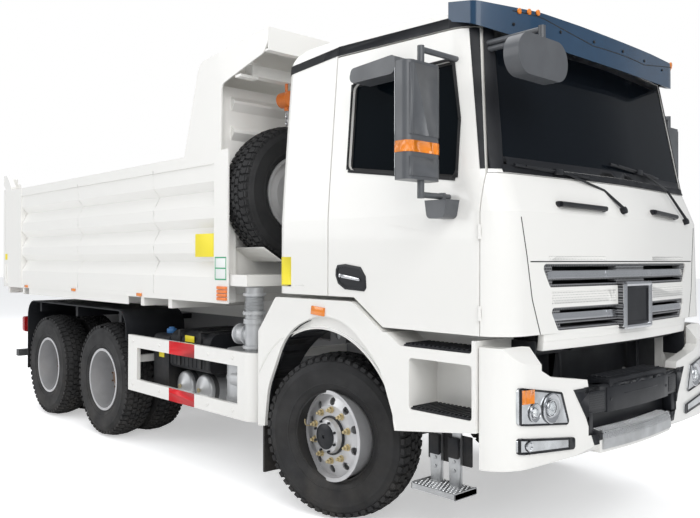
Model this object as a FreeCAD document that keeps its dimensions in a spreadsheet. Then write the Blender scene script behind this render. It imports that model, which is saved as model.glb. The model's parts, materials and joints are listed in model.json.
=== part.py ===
"""Three-axle dump truck with a tilt cab, a tipping bed and a top-hung tailgate.

Millimetres. +X points forward, +Y to the driver's left and +Z up. The ground is z = 0, and the
origin is halfway along the truck, so every place is written from the front axle's x.
"""
import FreeCAD, Part
import math
import os
import Sketcher

doc = FreeCAD.newDocument("DumpTruck")
sheet = doc.addObject("Spreadsheet::Sheet", "Sizes")

# Driving dimensions, millimetres and degrees
DIMENSIONS = {
    # layout
    "wheelbase": 3200, "tandem_spacing": 1350, "front_overhang": 1590, "rear_overhang": 1410,
    "half_width": 1240, "flat_gap": 0.3, "shut_gap": 7, "door_gap": 10, "pin_play": 0.05,
    # tyres and rims
    "tyre_radius": 542, "tyre_width": 300, "tread_width": 230, "shoulder_drop": 17, "bead_radius": 288,
    "bead_width": 230, "sidewall_low": 375, "sidewall_high": 440, "flange_radius": 298, "flange_wall": 13,
    "rim_wall": 14, "disc_wall": 14, "front_track": 2054, "rear_track": 1860, "twin_spacing": 350,
    "front_disc_offset": 88, "disc_cone_radius": 195, "disc_cone_depth": 26, "hub_radius": 120,
    "front_hub_length": 70, "rear_hub_length": 150, "spindle_radius": 45, "rear_spindle_radius": 60,
    "hand_hole_radius": 26, "hand_hole_circle": 222, "hand_hole_count": 10, "drum_radius": 205,
    "drum_length": 110,
    # steering and front axle
    "kingpin_spread": 1760, "kingpin_radius": 25, "eye_radius": 42, "eye_height": 120, "eye_step": 8, "fork_wall": 45,
    "fork_reach": 55, "knuckle_gap": 50, "knuckle_wall": 30, "beam_width": 80, "beam_height": 110,
    "beam_drop": 60,
    # rear axles
    "axle_tube_radius": 75, "axle_bowl_radius": 190, "axle_bowl_width": 200, "axle_nose": 330,
    "axle_nose_radius": 110,
    # frame rails and tipper subframe
    "rail_spread": 864, "rail_height": 300, "rail_flange": 80, "rail_wall": 8, "rail_top": 1050,
    "rail_front": 1180, "rail_rear": 5330, "member_width": 120, "subframe_height": 120,
    "subframe_front": 1150, "pivot_behind": 5200, "pivot_height": 1110,
    "pivot_radius": 45, "pivot_spread": 1060,
    # towing jaw at the rear cross member
    "tow_reach": 110, "tow_half": 55, "tow_low": 845, "tow_wall": 22, "tow_gap": 60, "tow_bore": 20.5,
    # springs
    "rear_spring_spread": 980, "spring_width": 80, "spring_leaf_stack": 120, "front_spring_rear": 800,
    "front_spring_front": 800, "trunnion_radius": 70,
    # engine, gearbox, radiator and shafts
    "engine_front": 820, "engine_rear": 490, "engine_width": 660, "engine_low": 610, "engine_top": 1230,
    "gearbox_rear": 1260, "gearbox_width": 380, "gearbox_top": 895, "mount_ahead": 300,
    "radiator_depth": 90, "radiator_width": 690, "radiator_low": 680, "radiator_top": 1270,
    "shaft_radius": 55, "shaft_height": 640,
    # cab form
    "cab_rear": 440, "cab_low": 1469, "cab_sill": 1300, "cab_top": 3142, "cab_wall": 60,
    "cab_front_low": 1525, "cab_front_belt": 1508, "cab_front_screen": 1420, "cab_front_top": 1250,
    "belt_height": 1960, "screen_foot": 2190, "half_width_screen": 1224, "half_width_top": 1140,
    "front_crown": 90, "front_corner_radius": 190, "crown_radius": 4000, "rear_corner_radius": 70,
    "arch_cut_rear": 330, "arch_cut_front": 580, "roof_rear_low": 3030, "roof_rear_mid": 3112,
    "roof_front_low": 3085, "cab_front_edge": 1305,
    # doors
    "door_rear": 92, "door_front": 1284, "door_pillar_top": 1172, "door_top_rear": 3020,
    "door_top_front": 2985, "window_rear": 255, "window_front": 1118, "window_front_top": 1050,
    "window_low_rear": 2268, "window_low_front": 2150, "window_top": 2812, "window_radius": 45,
    "glass_wall": 6, "glass_depth": 22, "hinge_ahead": 1287.5, "hinge_low": 1420, "hinge_high": 1850,
    "hinge_knuckle": 40, "hinge_radius": 9, "hinge_pin": 5, "hinge_play": 2,
    # windscreen, visor, grille
    "screen_half_low": 1090, "screen_half_top": 1010, "screen_low": 2215, "screen_top": 2985,
    "panel_split": 2165, "panel_rear": 1290, "visor_rear": 1010, "visor_low": 2866, "visor_top": 3045,
    "visor_wall": 30, "visor_front": 1462, "visor_end": 1195, "visor_half": 1156, "visor_bend": 330,
    "visor_sweep": 75, "visor_rear_low": 3045, "visor_end_low": 3000, "grille_upper_half": 905, "grille_upper_low": 1552, "grille_upper_top": 1681,
    "grille_lower_half": 842, "grille_lower_low": 1314, "grille_lower_top": 1440, "grille_lean": 70,
    "grille_inset": 8, "grille_depth": 50, "slat_count": 4, "slat_height": 15,
    "badge_half": 175, "badge_low": 1288, "badge_top": 1572, "badge_proud": 12,
    # cab pivot
    "tilt_ahead": 1330, "tilt_height": 850, "tilt_pin_radius": 25, "tilt_arm": 80,
    "tilt_play": 6,
    # bumper
    "bumper_low": 600, "bumper_top": 1243, "bumper_wall": 70, "bumper_front": 1575, "bumper_crown": 105,
    "bumper_corner_radius": 170, "bumper_dip": 985, "bumper_flat_half": 560, "bumper_shelf": 1030,
    "bumper_shoulder": 1075, "bumper_shoulder_half": 895, "bumper_dip_half": 975,
    "bumper_opening_half": 560, "bumper_opening_low": 715, "bumper_opening_top": 960,
    "lamp_inner": 745, "lamp_low": 804, "lamp_top_inner": 812, "lamp_top": 988, "lamp_outer": 1160,
    "lamp_low_outer": 848, "lamp_top_outer": 1045, "fog_inner": 700, "fog_low": 664, "fog_top": 730,
    "fog_low_outer": 699, "fog_top_outer": 784, "lamp_proud": 8, "step_half": 430,
    "step_low": 622, "step_top": 675, "step_proud": 12,
    # front fenders, treads and steps
    "fender_outer": 1258, "fender_wall": 40, "fender_inner": 915, "tub_radius": 705, "fender_rear": 640,
    "fender_front": 1283, "fender_low": 790, "fender_rear_low": 520, "fender_sill_gap": 26,
    "fender_shoulder": 250, "arch_rear_low": 575, "arch_rear": 528, "arch_rear_height": 800,
    "arch_haunch": 320, "arch_haunch_height": 1215, "arch_top_rear": 20, "arch_top_front": 250,
    "arch_top": 1335, "arch_brow": 560, "arch_brow_height": 1090, "arch_front": 700,
    "arch_front_height": 740, "arch_round": 450, "flap_wall": 12, "flap_inner": 980, "flap_outer": 1199,
    "flap_low": 176, "tread_inner": 1010, "tread_front": 1250, "upper_tread": 1205,
    "upper_tread_rear": 738, "upper_tread_slant": 131, "lower_tread": 850, "lower_tread_rear": 805,
    "lower_tread_height": 293, "hanging_step": 430, "hanging_front": 1125, "hanging_rear": 808,
    "hanging_wall": 30, "strap_top": 790,
    # side guards
    "guard_outer": 1243, "guard_wall": 34, "guard_rear": 2653, "guard_front": 690, "guard_low": 517,
    "guard_top": 1018, "guard_rail": 108, "guard_post": 168, "guard_nose": 230, "guard_nose_radius": 150,
    "stay_width": 60,
    # tanks, battery box, exhaust
    "box_rear": 2110, "box_front": 1480, "box_outer": 1120, "box_inner": 500, "box_low": 770,
    "box_top": 1090, "box_radius": 90, "urea_rear": 2400, "urea_front": 2135, "urea_low": 560,
    "urea_top": 1040, "air_radius": 125, "air_length": 560, "air_height": 610, "air_spacing": 300,
    "air_ahead": 1710, "fuel_rear": 2560, "fuel_front": 1000, "fuel_low": 560, "fuel_top": 1020,
    "fuel_radius": 110, "muffler_radius": 190, "muffler_ahead": 1150, "muffler_low": 560,
    "muffler_top": 1000, "muffler_side": 950, "pipe_radius": 68, "pipe_ahead": 905, "pipe_side": 1100,
    "pipe_top": 1494, "pipe_elbow": 1130,
    # tandem fenders, tail bar
    "wing_top": 1232, "wing_wall": 12, "wing_gap": 70, "wing_inner": 640, "wing_outer": 1250,
    "wing_rear_low": 450, "wing_front_low": 960, "wing_radius": 180, "tail_bar_low": 553,
    "tail_bar_top": 628, "tail_bar_depth": 80, "tail_bar_rear": 5520, "tail_post": 5400,
    "tail_lamp_low": 838, "tail_lamp_top": 1020, "tail_lamp_inner": 800, "tail_lamp_outer": 1180,
    # bed
    "bed_outer": 1236, "bed_rear": 5890, "bed_front": 1231, "bed_low": 1366, "bed_top": 2540,
    "bed_sheet": 8, "groove_depth": 58, "groove_fall": 68, "groove_rise": 120, "groove_high": 2312,
    "groove_mid": 2024, "groove_low": 1752, "rear_post": 5365, "post_depth": 70, "post_proud": 14,
    "pillar_front": 1042, "pillar_leg": 1165, "pillar_inner": 1090, "floor_wall": 12, "bearer_tail": 110,
    "cross_bearer_height": 75, "cross_bearer_width": 60, "cross_bearer_count": 9, "top_rail_height": 95,
    "top_rail_proud": 10, "skirt_low": 1292, "skirt_rear": 5133, "skirt_front": 2672, "headboard_wall": 10,
    "headboard_top": 3060, "stiffener_depth": 48, "stiffener_height": 120, "hinge_post_top": 2728,
    "hinge_post_width": 190, "hinge_post_wall": 60, "gate_hinge_height": 2660, "gate_hinge_back": 38,
    "gate_hinge_radius": 18, "gate_wall": 56, "gate_top": 2590, "ear_wall": 36,
    # canopy
    "canopy_wall": 12, "canopy_rear": 1702, "canopy_rear_top": 1474, "canopy_top_rear": 3275,
    "canopy_tip": 560, "canopy_tip_top": 3361, "canopy_tip_low": 3195, "canopy_corner_radius": 120,
    "canopy_notch": 620, "canopy_notch_low": 3185, "canopy_throat": 1154, "canopy_throat_low": 3051,
    "lip_depth": 60,
    # spare wheel and its carrier
    "spare_front": 860, "spare_side": 690, "spare_height": 2217, "cradle_wall": 12, "cradle_width": 200,
    "cradle_angle": 30, "jib_low": 3090, "jib_height": 85, "jib_side": 1120, "jib_length": 470,
    "jib_ahead": 950, "inlet_low": 1502, "inlet_top": 1587, "inlet_outer": 1225, "inlet_inner": 850,
    "inlet_front": 830,
    # hoist
    "hoist_behind": 700, "hoist_foot": 1100, "hoist_low": 960, "hoist_eye": 2300, "hoist_barrel_radius": 98,
    "hoist_step": 14, "hoist_head": 10, "hoist_lip": 22, "hoist_pin_radius": 30, "hoist_eye_radius": 46,
    "hoist_eye_width": 90, "hoist_ear_gap": 128, "hoist_ear_wall": 22, "hoist_ear_height": 170,
    # mirrors, seats and dashboard
    "mirror_side": 1600, "mirror_front": 1110, "mirror_low": 2120, "mirror_top": 2740,
    "mirror_depth": 110, "mirror_width": 270, "mirror_arm_radius": 16, "mirror_post_radius": 19, "mirror_rise": 75, "kerb_rear": 380,
    "kerb_front": 770, "front_mirror_side": 1100, "front_mirror_height": 2735, "front_mirror_half": 225,
    "front_mirror_rise": 105, "front_mirror_depth": 90,
    "seat_ahead": 300, "seat_width": 520, "seat_height": 1900, "seat_side": 600,
    "seat_back": 720, "dash_depth": 330, "dash_reach": -10, "dash_height": 2120, "wheel_radius": 225,
    "wheel_grip": 15, "wheel_lean": 30, "wheel_ahead": 40, "wheel_rise": 60, "column_length": 300,
}
for row, (alias, number) in enumerate(DIMENSIONS.items(), start=1):
    sheet.set("A%d" % row, alias)
    sheet.set("B%d" % row, str(number))
    sheet.setAlias("B%d" % row, alias)
doc.recompute()


class Size:
    """A number together with the sheet expression that gives it."""

    def __init__(self, number, text):
        self.number = float(number)
        self.text = text

    def __add__(self, other):
        other = size(other)
        return Size(self.number + other.number, "(%s + %s)" % (self.text, other.text))

    def __sub__(self, other):
        other = size(other)
        return Size(self.number - other.number, "(%s - %s)" % (self.text, other.text))

    def __mul__(self, other):
        other = size(other)
        return Size(self.number * other.number, "(%s * %s)" % (self.text, other.text))

    def __truediv__(self, other):
        other = size(other)
        return Size(self.number / other.number, "(%s / %s)" % (self.text, other.text))

    def __neg__(self):
        return Size(-self.number, "(-1 * %s)" % self.text)

    def __radd__(self, other):
        return size(other) + self

    def __rsub__(self, other):
        return size(other) - self

    def __rmul__(self, other):
        return size(other) * self


def size(value):
    """Any plain number as a Size."""
    if isinstance(value, Size):
        return value
    return Size(value, repr(value))


class Sheet:
    """Sizes by name, read from the sheet."""

    def __getattr__(self, alias):
        return Size(sheet.get(alias), "Sizes." + alias)


S = Sheet()
AXLE = (S.wheelbase + S.tandem_spacing + S.rear_overhang - S.front_overhang) / 2
MIDDLE_AXLE = AXLE - S.wheelbase
REAR_AXLE = MIDDLE_AXLE - S.tandem_spacing
RIGHT = -1
LEFT = 1
SIDES = (("right", RIGHT), ("left", LEFT))
subparts = {}


def ahead(distance):
    """The x of a place given from the front axle, forwards."""
    return AXLE + distance


def behind(distance):
    """The x of a place given from the front axle, backwards."""
    return AXLE - distance


def bind(thing, prop, value):
    """Tie a property to the sheet."""
    thing.setExpression(prop, size(value).text)


def place(thing, x=0, y=0, z=0):
    """Tie a piece's place to the sheet."""
    for axis, value in (("x", x), ("y", y), ("z", z)):
        bind(thing, "Placement.Base." + axis, value)
    return thing


def name(label, thing):
    """Make a finished piece one of the truck's sub-parts."""
    thing.Label = label
    subparts[label] = thing
    return thing


def block(x, y, z):
    """A box from three pairs of limits."""
    thing = doc.addObject("Part::Box", "Block")
    for prop, (low, high) in (("Length", x), ("Width", y), ("Height", z)):
        bind(thing, prop, size(high) - low)
    return place(thing, x[0], y[0], z[0])


TURNS = {
    "X": FreeCAD.Rotation(FreeCAD.Vector(0, 1, 0), 90),
    "Y": FreeCAD.Rotation(FreeCAD.Vector(1, 0, 0), -90),
    "Z": FreeCAD.Rotation(),
}


def rod(axis, centre, radius, low, high):
    """A round bar along an axis, between two places on it; centre gives the other two coordinates."""
    thing = doc.addObject("Part::Cylinder", "Rod")
    bind(thing, "Radius", radius)
    bind(thing, "Height", size(high) - low)
    thing.Placement.Rotation = TURNS[axis]
    across = list(centre)
    spot = {"X": [low] + across, "Y": across[:1] + [low] + across[1:], "Z": across + [low]}[axis]
    return place(thing, *spot)


def join(parts):
    """Several touching pieces welded into one."""
    if len(parts) == 1:
        return parts[0]
    thing = doc.addObject("Part::MultiFuse", "Join")
    thing.Shapes = parts
    thing.Refine = False
    return thing


def cut(base, tools):
    """A piece with others taken out of it."""
    thing = doc.addObject("Part::Cut", "Cut")
    thing.Base = base
    thing.Tool = join(tools)
    thing.Refine = False
    return thing


def common(parts):
    """What several pieces share."""
    thing = doc.addObject("Part::MultiCommon", "Common")
    thing.Shapes = parts
    thing.Refine = False
    return thing


def gather(parts):
    """Like pieces that don't touch, kept together."""
    thing = doc.addObject("Part::Compound", "Set")
    thing.Links = parts
    return thing


def mirrored(source):
    """The same piece on the truck's other side."""
    thing = doc.addObject("Part::Mirroring", "Mirror")
    thing.Source = source
    thing.Base = FreeCAD.Vector(0, 0, 0)
    thing.Normal = FreeCAD.Vector(0, 1, 0)
    return thing


def both(source):
    """A piece and its mirror image."""
    return gather([source, mirrored(source)])


def span(side, near, far):
    """Limits across the truck, in rising order, on one side of it."""
    return (near, far) if side > 0 else (-size(far), -size(near))


def origin_plane(body, plane):
    """One of a body's own origin planes."""
    return next(f for f in body.Origin.OriginFeatures if f.Role == plane + "_Plane")


def corner_arc(before, corner, after, radius):
    """Tangent points, centre and turning side of a rounded corner."""
    a = FreeCAD.Vector(*before, 0) - FreeCAD.Vector(*corner, 0)
    b = FreeCAD.Vector(*after, 0) - FreeCAD.Vector(*corner, 0)
    a.normalize()
    b.normalize()
    half = a.getAngle(b) / 2
    tip = FreeCAD.Vector(*corner, 0)
    first = tip + a * (radius / math.tan(half))
    last = tip + b * (radius / math.tan(half))
    middle = (a + b).normalize() * (radius / math.sin(half))
    left_turn = a.cross(b).z < 0
    return first, last, tip + middle, left_turn


def outline(body, plane, points, offset):
    """A closed outline on an origin plane of the body; a third value rounds that corner."""
    sketch = body.newObject("Sketcher::SketchObject", "Outline")
    sketch.AttachmentSupport = [(origin_plane(body, plane), "")]
    sketch.MapMode = "FlatFace"
    bind(sketch, "AttachmentOffset.Base.z", -size(offset) if plane == "XZ" else offset)
    corners = [(size(p[0]), size(p[1]), size(p[2]) if len(p) > 2 else None) for p in points]
    spots = [(u.number, v.number) for u, v, r in corners]
    count = len(corners)
    starts, ends, arcs = {}, {}, {}
    for k, (u, v, r) in enumerate(corners):
        starts[k] = ends[k] = FreeCAD.Vector(*spots[k], 0)
        if r is not None:
            arcs[k] = corner_arc(spots[k - 1], spots[k], spots[(k + 1) % count], r.number)
            ends[k], starts[k] = arcs[k][0], arcs[k][1]
    for k in range(count):
        sketch.addGeometry(Part.LineSegment(starts[k], ends[(k + 1) % count]), False)
    constraints, bindings = [], []
    for k, (u, v, r) in enumerate(corners):
        before = (k - 1) % count
        if r is None:
            constraints.append(Sketcher.Constraint("Coincident", before, 2, k, 1))
            spot = (k, 1)
        else:
            first, last, centre, left_turn = arcs[k]
            low, high = (first, last) if left_turn else (last, first)
            angles = [math.atan2((p - centre).y, (p - centre).x) for p in (low, high)]
            circle = Part.Circle(centre, FreeCAD.Vector(0, 0, 1), r.number)
            arc = sketch.addGeometry(Part.ArcOfCircle(circle, *angles), False)
            corner = sketch.addGeometry(Part.Point(FreeCAD.Vector(*spots[k], 0)), True)
            spot = (corner, 1)
            sides = (1, 2) if left_turn else (2, 1)
            constraints.append(Sketcher.Constraint("PointOnObject", corner, 1, before))
            constraints.append(Sketcher.Constraint("PointOnObject", corner, 1, k))
            constraints.append(Sketcher.Constraint("Tangent", before, 2, arc, sides[0]))
            constraints.append(Sketcher.Constraint("Tangent", arc, sides[1], k, 1))
            bindings.append((len(constraints), r))
            constraints.append(Sketcher.Constraint("Radius", arc, r.number))
        for kind, value in (("DistanceX", u), ("DistanceY", v)):
            bindings.append((len(constraints), value))
            constraints.append(Sketcher.Constraint(kind, -1, 1, spot[0], spot[1], value.number))
    sketch.addConstraint(constraints)
    for index, value in bindings:
        if "Sizes." in value.text:
            sketch.setExpression("Constraints[%d]" % index, value.text)
    return sketch


def new_body(label="Body"):
    """An empty body."""
    return doc.addObject("PartDesign::Body", label)


def pad(body, plane, points, low, high):
    """Add an outline's prism to a body, between two places along the plane's normal."""
    sketch = outline(body, plane, points, high if plane == "XZ" else low)
    feature = body.newObject("PartDesign::Pad", "Pad")
    feature.Profile = sketch
    bind(feature, "Length", size(high) - low)
    return feature


def pocket(body, plane, points, low, high):
    """Cut an outline's prism out of a body, between two places along the plane's normal."""
    sketch = outline(body, plane, points, low if plane == "XZ" else high)
    feature = body.newObject("PartDesign::Pocket", "Pocket")
    feature.Profile = sketch
    bind(feature, "Length", size(high) - low)
    return feature


def prism(plane, points, low, high):
    """A body of one outline's prism."""
    body = new_body()
    pad(body, plane, points, low, high)
    return body


def turned(points):
    """A body of one outline turned about the Y axis; points are y and radius."""
    body = new_body()
    sketch = outline(body, "YZ", points, 0)
    feature = body.newObject("PartDesign::Revolution", "Turn")
    feature.Profile = sketch
    feature.ReferenceAxis = (sketch, ["H_Axis"])
    feature.Angle = 360
    return body


def upright(points):
    """A body of one outline turned about the Z axis; points are radius and z."""
    body = new_body()
    sketch = outline(body, "XZ", points, 0)
    feature = body.newObject("PartDesign::Revolution", "Turn")
    feature.Profile = sketch
    feature.ReferenceAxis = (sketch, ["V_Axis"])
    feature.Angle = 360
    return body


def rect(left, right, low, high, radius=None):
    """Corners of a rectangle, rounded where a radius is given."""
    spots = [(left, low), (right, low), (right, high), (left, high)]
    return [spot + (radius,) for spot in spots] if radius is not None else spots


# Frame rails with cross members, the tipper subframe on top and the bed's pivot tube
def make_frame():
    half = S.rail_spread / 2
    inner = half - S.rail_flange
    low = S.rail_top - S.rail_height
    pieces = []
    for label, side in SIDES:
        web = side * half
        skin = side * (half - S.rail_wall)
        lip = side * inner
        section = [(web, low), (web, S.rail_top), (lip, S.rail_top), (lip, S.rail_top - S.rail_wall),
                   (skin, S.rail_top - S.rail_wall), (skin, low + S.rail_wall), (lip, low + S.rail_wall), (lip, low)]
        pieces.append(prism("YZ", section, behind(S.rail_rear), ahead(S.rail_front)))
        limits = (web, lip) if side < 0 else (lip, web)
        deck = (S.rail_top, S.rail_top + S.subframe_height)
        pieces.append(block((behind(S.pivot_behind), behind(S.subframe_front)), limits, deck))
        pieces.append(block((behind(S.pivot_behind + S.pivot_radius), behind(S.pivot_behind)), limits,
                            (S.rail_top, S.pivot_height)))
        foot = (S.rail_top, S.hoist_foot + 2 * S.hoist_pin_radius)
        reach = (behind(S.hoist_behind + 3 * S.hoist_pin_radius), behind(S.hoist_behind - 3 * S.hoist_pin_radius))
        pieces.append(block(reach, limits, foot))
        arm_low = S.tilt_height - 2 * S.tilt_pin_radius
        arm = [(ahead(S.rail_front - S.member_width), low), (ahead(S.tilt_ahead + 2 * S.tilt_pin_radius), arm_low),
               (ahead(S.tilt_ahead + 2 * S.tilt_pin_radius), S.tilt_height + 2 * S.tilt_pin_radius),
               (ahead(S.rail_front - S.member_width), S.rail_top)]
        arm_y = (half, half + S.tilt_arm / 3)
        limits = arm_y if side > 0 else (-arm_y[1], -arm_y[0])
        pieces.append(prism("XZ", arm, *limits))
    across = (-(half - S.rail_wall), half - S.rail_wall)
    middle = (low + S.rail_height / 4, S.rail_top - S.rail_height / 4)
    for x in (ahead(S.rail_front - S.member_width), MIDDLE_AXLE + S.tandem_spacing / 2 + S.member_width,
              MIDDLE_AXLE - S.tandem_spacing / 2, REAR_AXLE - S.tandem_spacing / 2 + S.member_width,
              behind(S.rail_rear)):
        pieces.append(block((x, x + S.member_width), across, middle))
    deck_middle = (S.rail_top + S.subframe_height / 4, S.rail_top + 3 * S.subframe_height / 4)
    for x in (behind(S.subframe_front + S.member_width), behind((S.subframe_front + S.pivot_behind) / 2)):
        pieces.append(block((x, x + S.member_width), (-inner, inner), deck_middle))
    pivot = (behind(S.pivot_behind), S.pivot_height)
    pieces.append(rod("Y", pivot, S.pivot_radius, -S.pivot_spread / 2, S.pivot_spread / 2))
    tilt = (ahead(S.tilt_ahead), S.tilt_height)
    for side in (RIGHT, LEFT):
        limits = span(side, half, half + 5 * S.tilt_arm / 6 + 2 * S.tilt_play)
        pieces.append(rod("Y", tilt, S.tilt_pin_radius, *limits))
    tail = behind(S.rail_rear)
    for z in (S.tow_low, S.tow_low + S.tow_wall + S.tow_gap):
        pieces.append(block((tail - S.tow_reach, tail + S.rail_wall), (-S.tow_half, S.tow_half), (z, z + S.tow_wall)))
    tow_top = S.tow_low + 2 * S.tow_wall + S.tow_gap
    bores = [rod("Y", (behind(S.hoist_behind), S.hoist_foot), S.hoist_pin_radius + S.pin_play, -half - 1, half + 1),
             rod("Z", (tail - S.tow_reach + S.tow_half, 0), S.tow_bore, S.tow_low - 1, tow_top + 1)]
    return name("chassis_frame", cut(join(pieces), bores))


# The tyre's section: bead, sidewall bulge, shoulder and crown
def tyre_section(middle):
    half = S.tyre_width / 2
    crown = S.tread_width / 2
    bead = S.bead_width / 2 - S.flat_gap
    shoulder = S.tyre_radius - S.shoulder_drop
    right = [(crown, S.tyre_radius), (half - S.shoulder_drop, shoulder), (half, S.sidewall_high),
             (half, S.sidewall_low), (bead, S.flange_radius + S.flat_gap), (bead, S.bead_radius)]
    points = [(middle + y, r) for y, r in right]
    return points + [(middle - y, r) for y, r in reversed(right)]


# Barrel of one rim from its outer flange to its inner one, as an open half outline
def barrel_edge(middle, side):
    seat = S.bead_radius - S.flat_gap
    edge = S.bead_width / 2
    lip = edge + S.flange_wall
    return [(middle + side * edge, seat), (middle + side * edge, S.flange_radius),
            (middle + side * lip, S.flange_radius), (middle + side * lip, seat - S.rim_wall)]


def hand_holes(x, z, low, high):
    """The ring of holes round a wheel's disc."""
    holes = []
    count = int(S.hand_hole_count.number)
    for k in range(count):
        hole = rod("Y", (0, 0), S.hand_hole_radius, low, high)
        turn = (k + 0.5) * 2 * math.pi / count
        place(hole, x + S.hand_hole_circle * math.cos(turn), low, z + S.hand_hole_circle * math.sin(turn))
        holes.append(hole)
    return holes


# Front wheels: single tyre, domed disc and closed hub
def make_front_wheels():
    for label, side in SIDES:
        middle = side * S.front_track / 2
        tyre = turned(tyre_section(middle))
        name("tyre_front_" + label, place(tyre, AXLE, 0, S.tyre_radius))
        seat = S.bead_radius - S.flat_gap
        bore = S.spindle_radius + S.pin_play
        face = S.front_track / 2 + S.front_disc_offset
        root = S.kingpin_spread / 2 + S.knuckle_gap + S.knuckle_wall + 2 * S.flat_gap + 4
        cone = face - S.disc_cone_depth
        spindle_end = S.front_track / 2 + S.front_disc_offset + S.disc_wall
        section = [(side * root, bore), (side * spindle_end, bore), (side * spindle_end, 0),
                   (side * (face + S.front_hub_length), 0), (side * (face + S.front_hub_length), S.hub_radius - 30),
                   (side * (face + S.front_hub_length - 12), S.hub_radius - 12),
                   (side * (face + S.disc_wall), S.hub_radius), (side * (face + S.disc_wall), S.disc_cone_radius),
                   (side * (cone + S.disc_wall), seat - S.rim_wall)]
        section += barrel_edge(middle, side)[::-1]
        section += barrel_edge(middle, -side)
        section += [(side * cone, seat - S.rim_wall), (side * face, S.disc_cone_radius),
                    (side * face, S.drum_radius - S.rim_wall - 6), (side * (root + S.drum_length), S.drum_radius - 20),
                    (side * (root + S.drum_length), S.drum_radius), (side * root, S.drum_radius)]
        rim = place(turned(section), AXLE, 0, S.tyre_radius)
        limits = sorted((side * (cone - 10), side * (face + 40)), key=lambda item: item.number)
        holes = hand_holes(AXLE, S.tyre_radius, *limits)
        name("rim_front_" + label, cut(rim, holes))


# Rear wheels: two tyres on rims whose discs meet back to back on the hub
def make_rear_wheels():
    for axle, x in (("middle", MIDDLE_AXLE), ("rear", REAR_AXLE)):
        for label, side in SIDES:
            joint = S.rear_track / 2
            inner = side * (joint - S.twin_spacing / 2)
            outer = side * (joint + S.twin_spacing / 2)
            tyres = [place(turned(tyre_section(y)), x, 0, S.tyre_radius) for y in (inner, outer)]
            name("tyres_%s_%s" % (axle, label), gather(tyres))
            well = S.bead_radius - S.flat_gap - S.rim_wall
            seat = S.bead_radius - S.flat_gap
            bore = S.rear_spindle_radius + S.pin_play
            hub_root = joint - S.drum_length - 90
            cap = joint + S.rear_hub_length
            section = [(side * hub_root, bore), (side * (joint + 70), bore), (side * (joint + 70), 0),
                       (side * cap, 0), (side * cap, S.hub_radius - 25), (side * (cap - 20), S.hub_radius - 10),
                       (side * (joint + S.disc_wall), S.hub_radius + 10), (side * (joint + S.disc_wall), well)]
            section += barrel_edge(outer, side)[::-1]
            section += barrel_edge(inner, -side)
            section += [(side * (joint - S.disc_wall), well), (side * (joint - S.disc_wall), S.drum_radius),
                        (side * (joint - S.disc_wall - S.drum_length), S.drum_radius),
                        (side * (joint - S.disc_wall - S.drum_length), S.hub_radius + 20),
                        (side * hub_root, S.hub_radius)]
            rim = place(turned(section), x, 0, S.tyre_radius)
            limits = sorted((side * (joint - 20), side * (joint + 20)), key=lambda item: item.number)
            name("rims_%s_%s" % (axle, label), cut(rim, hand_holes(x, S.tyre_radius, *limits)))


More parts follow.
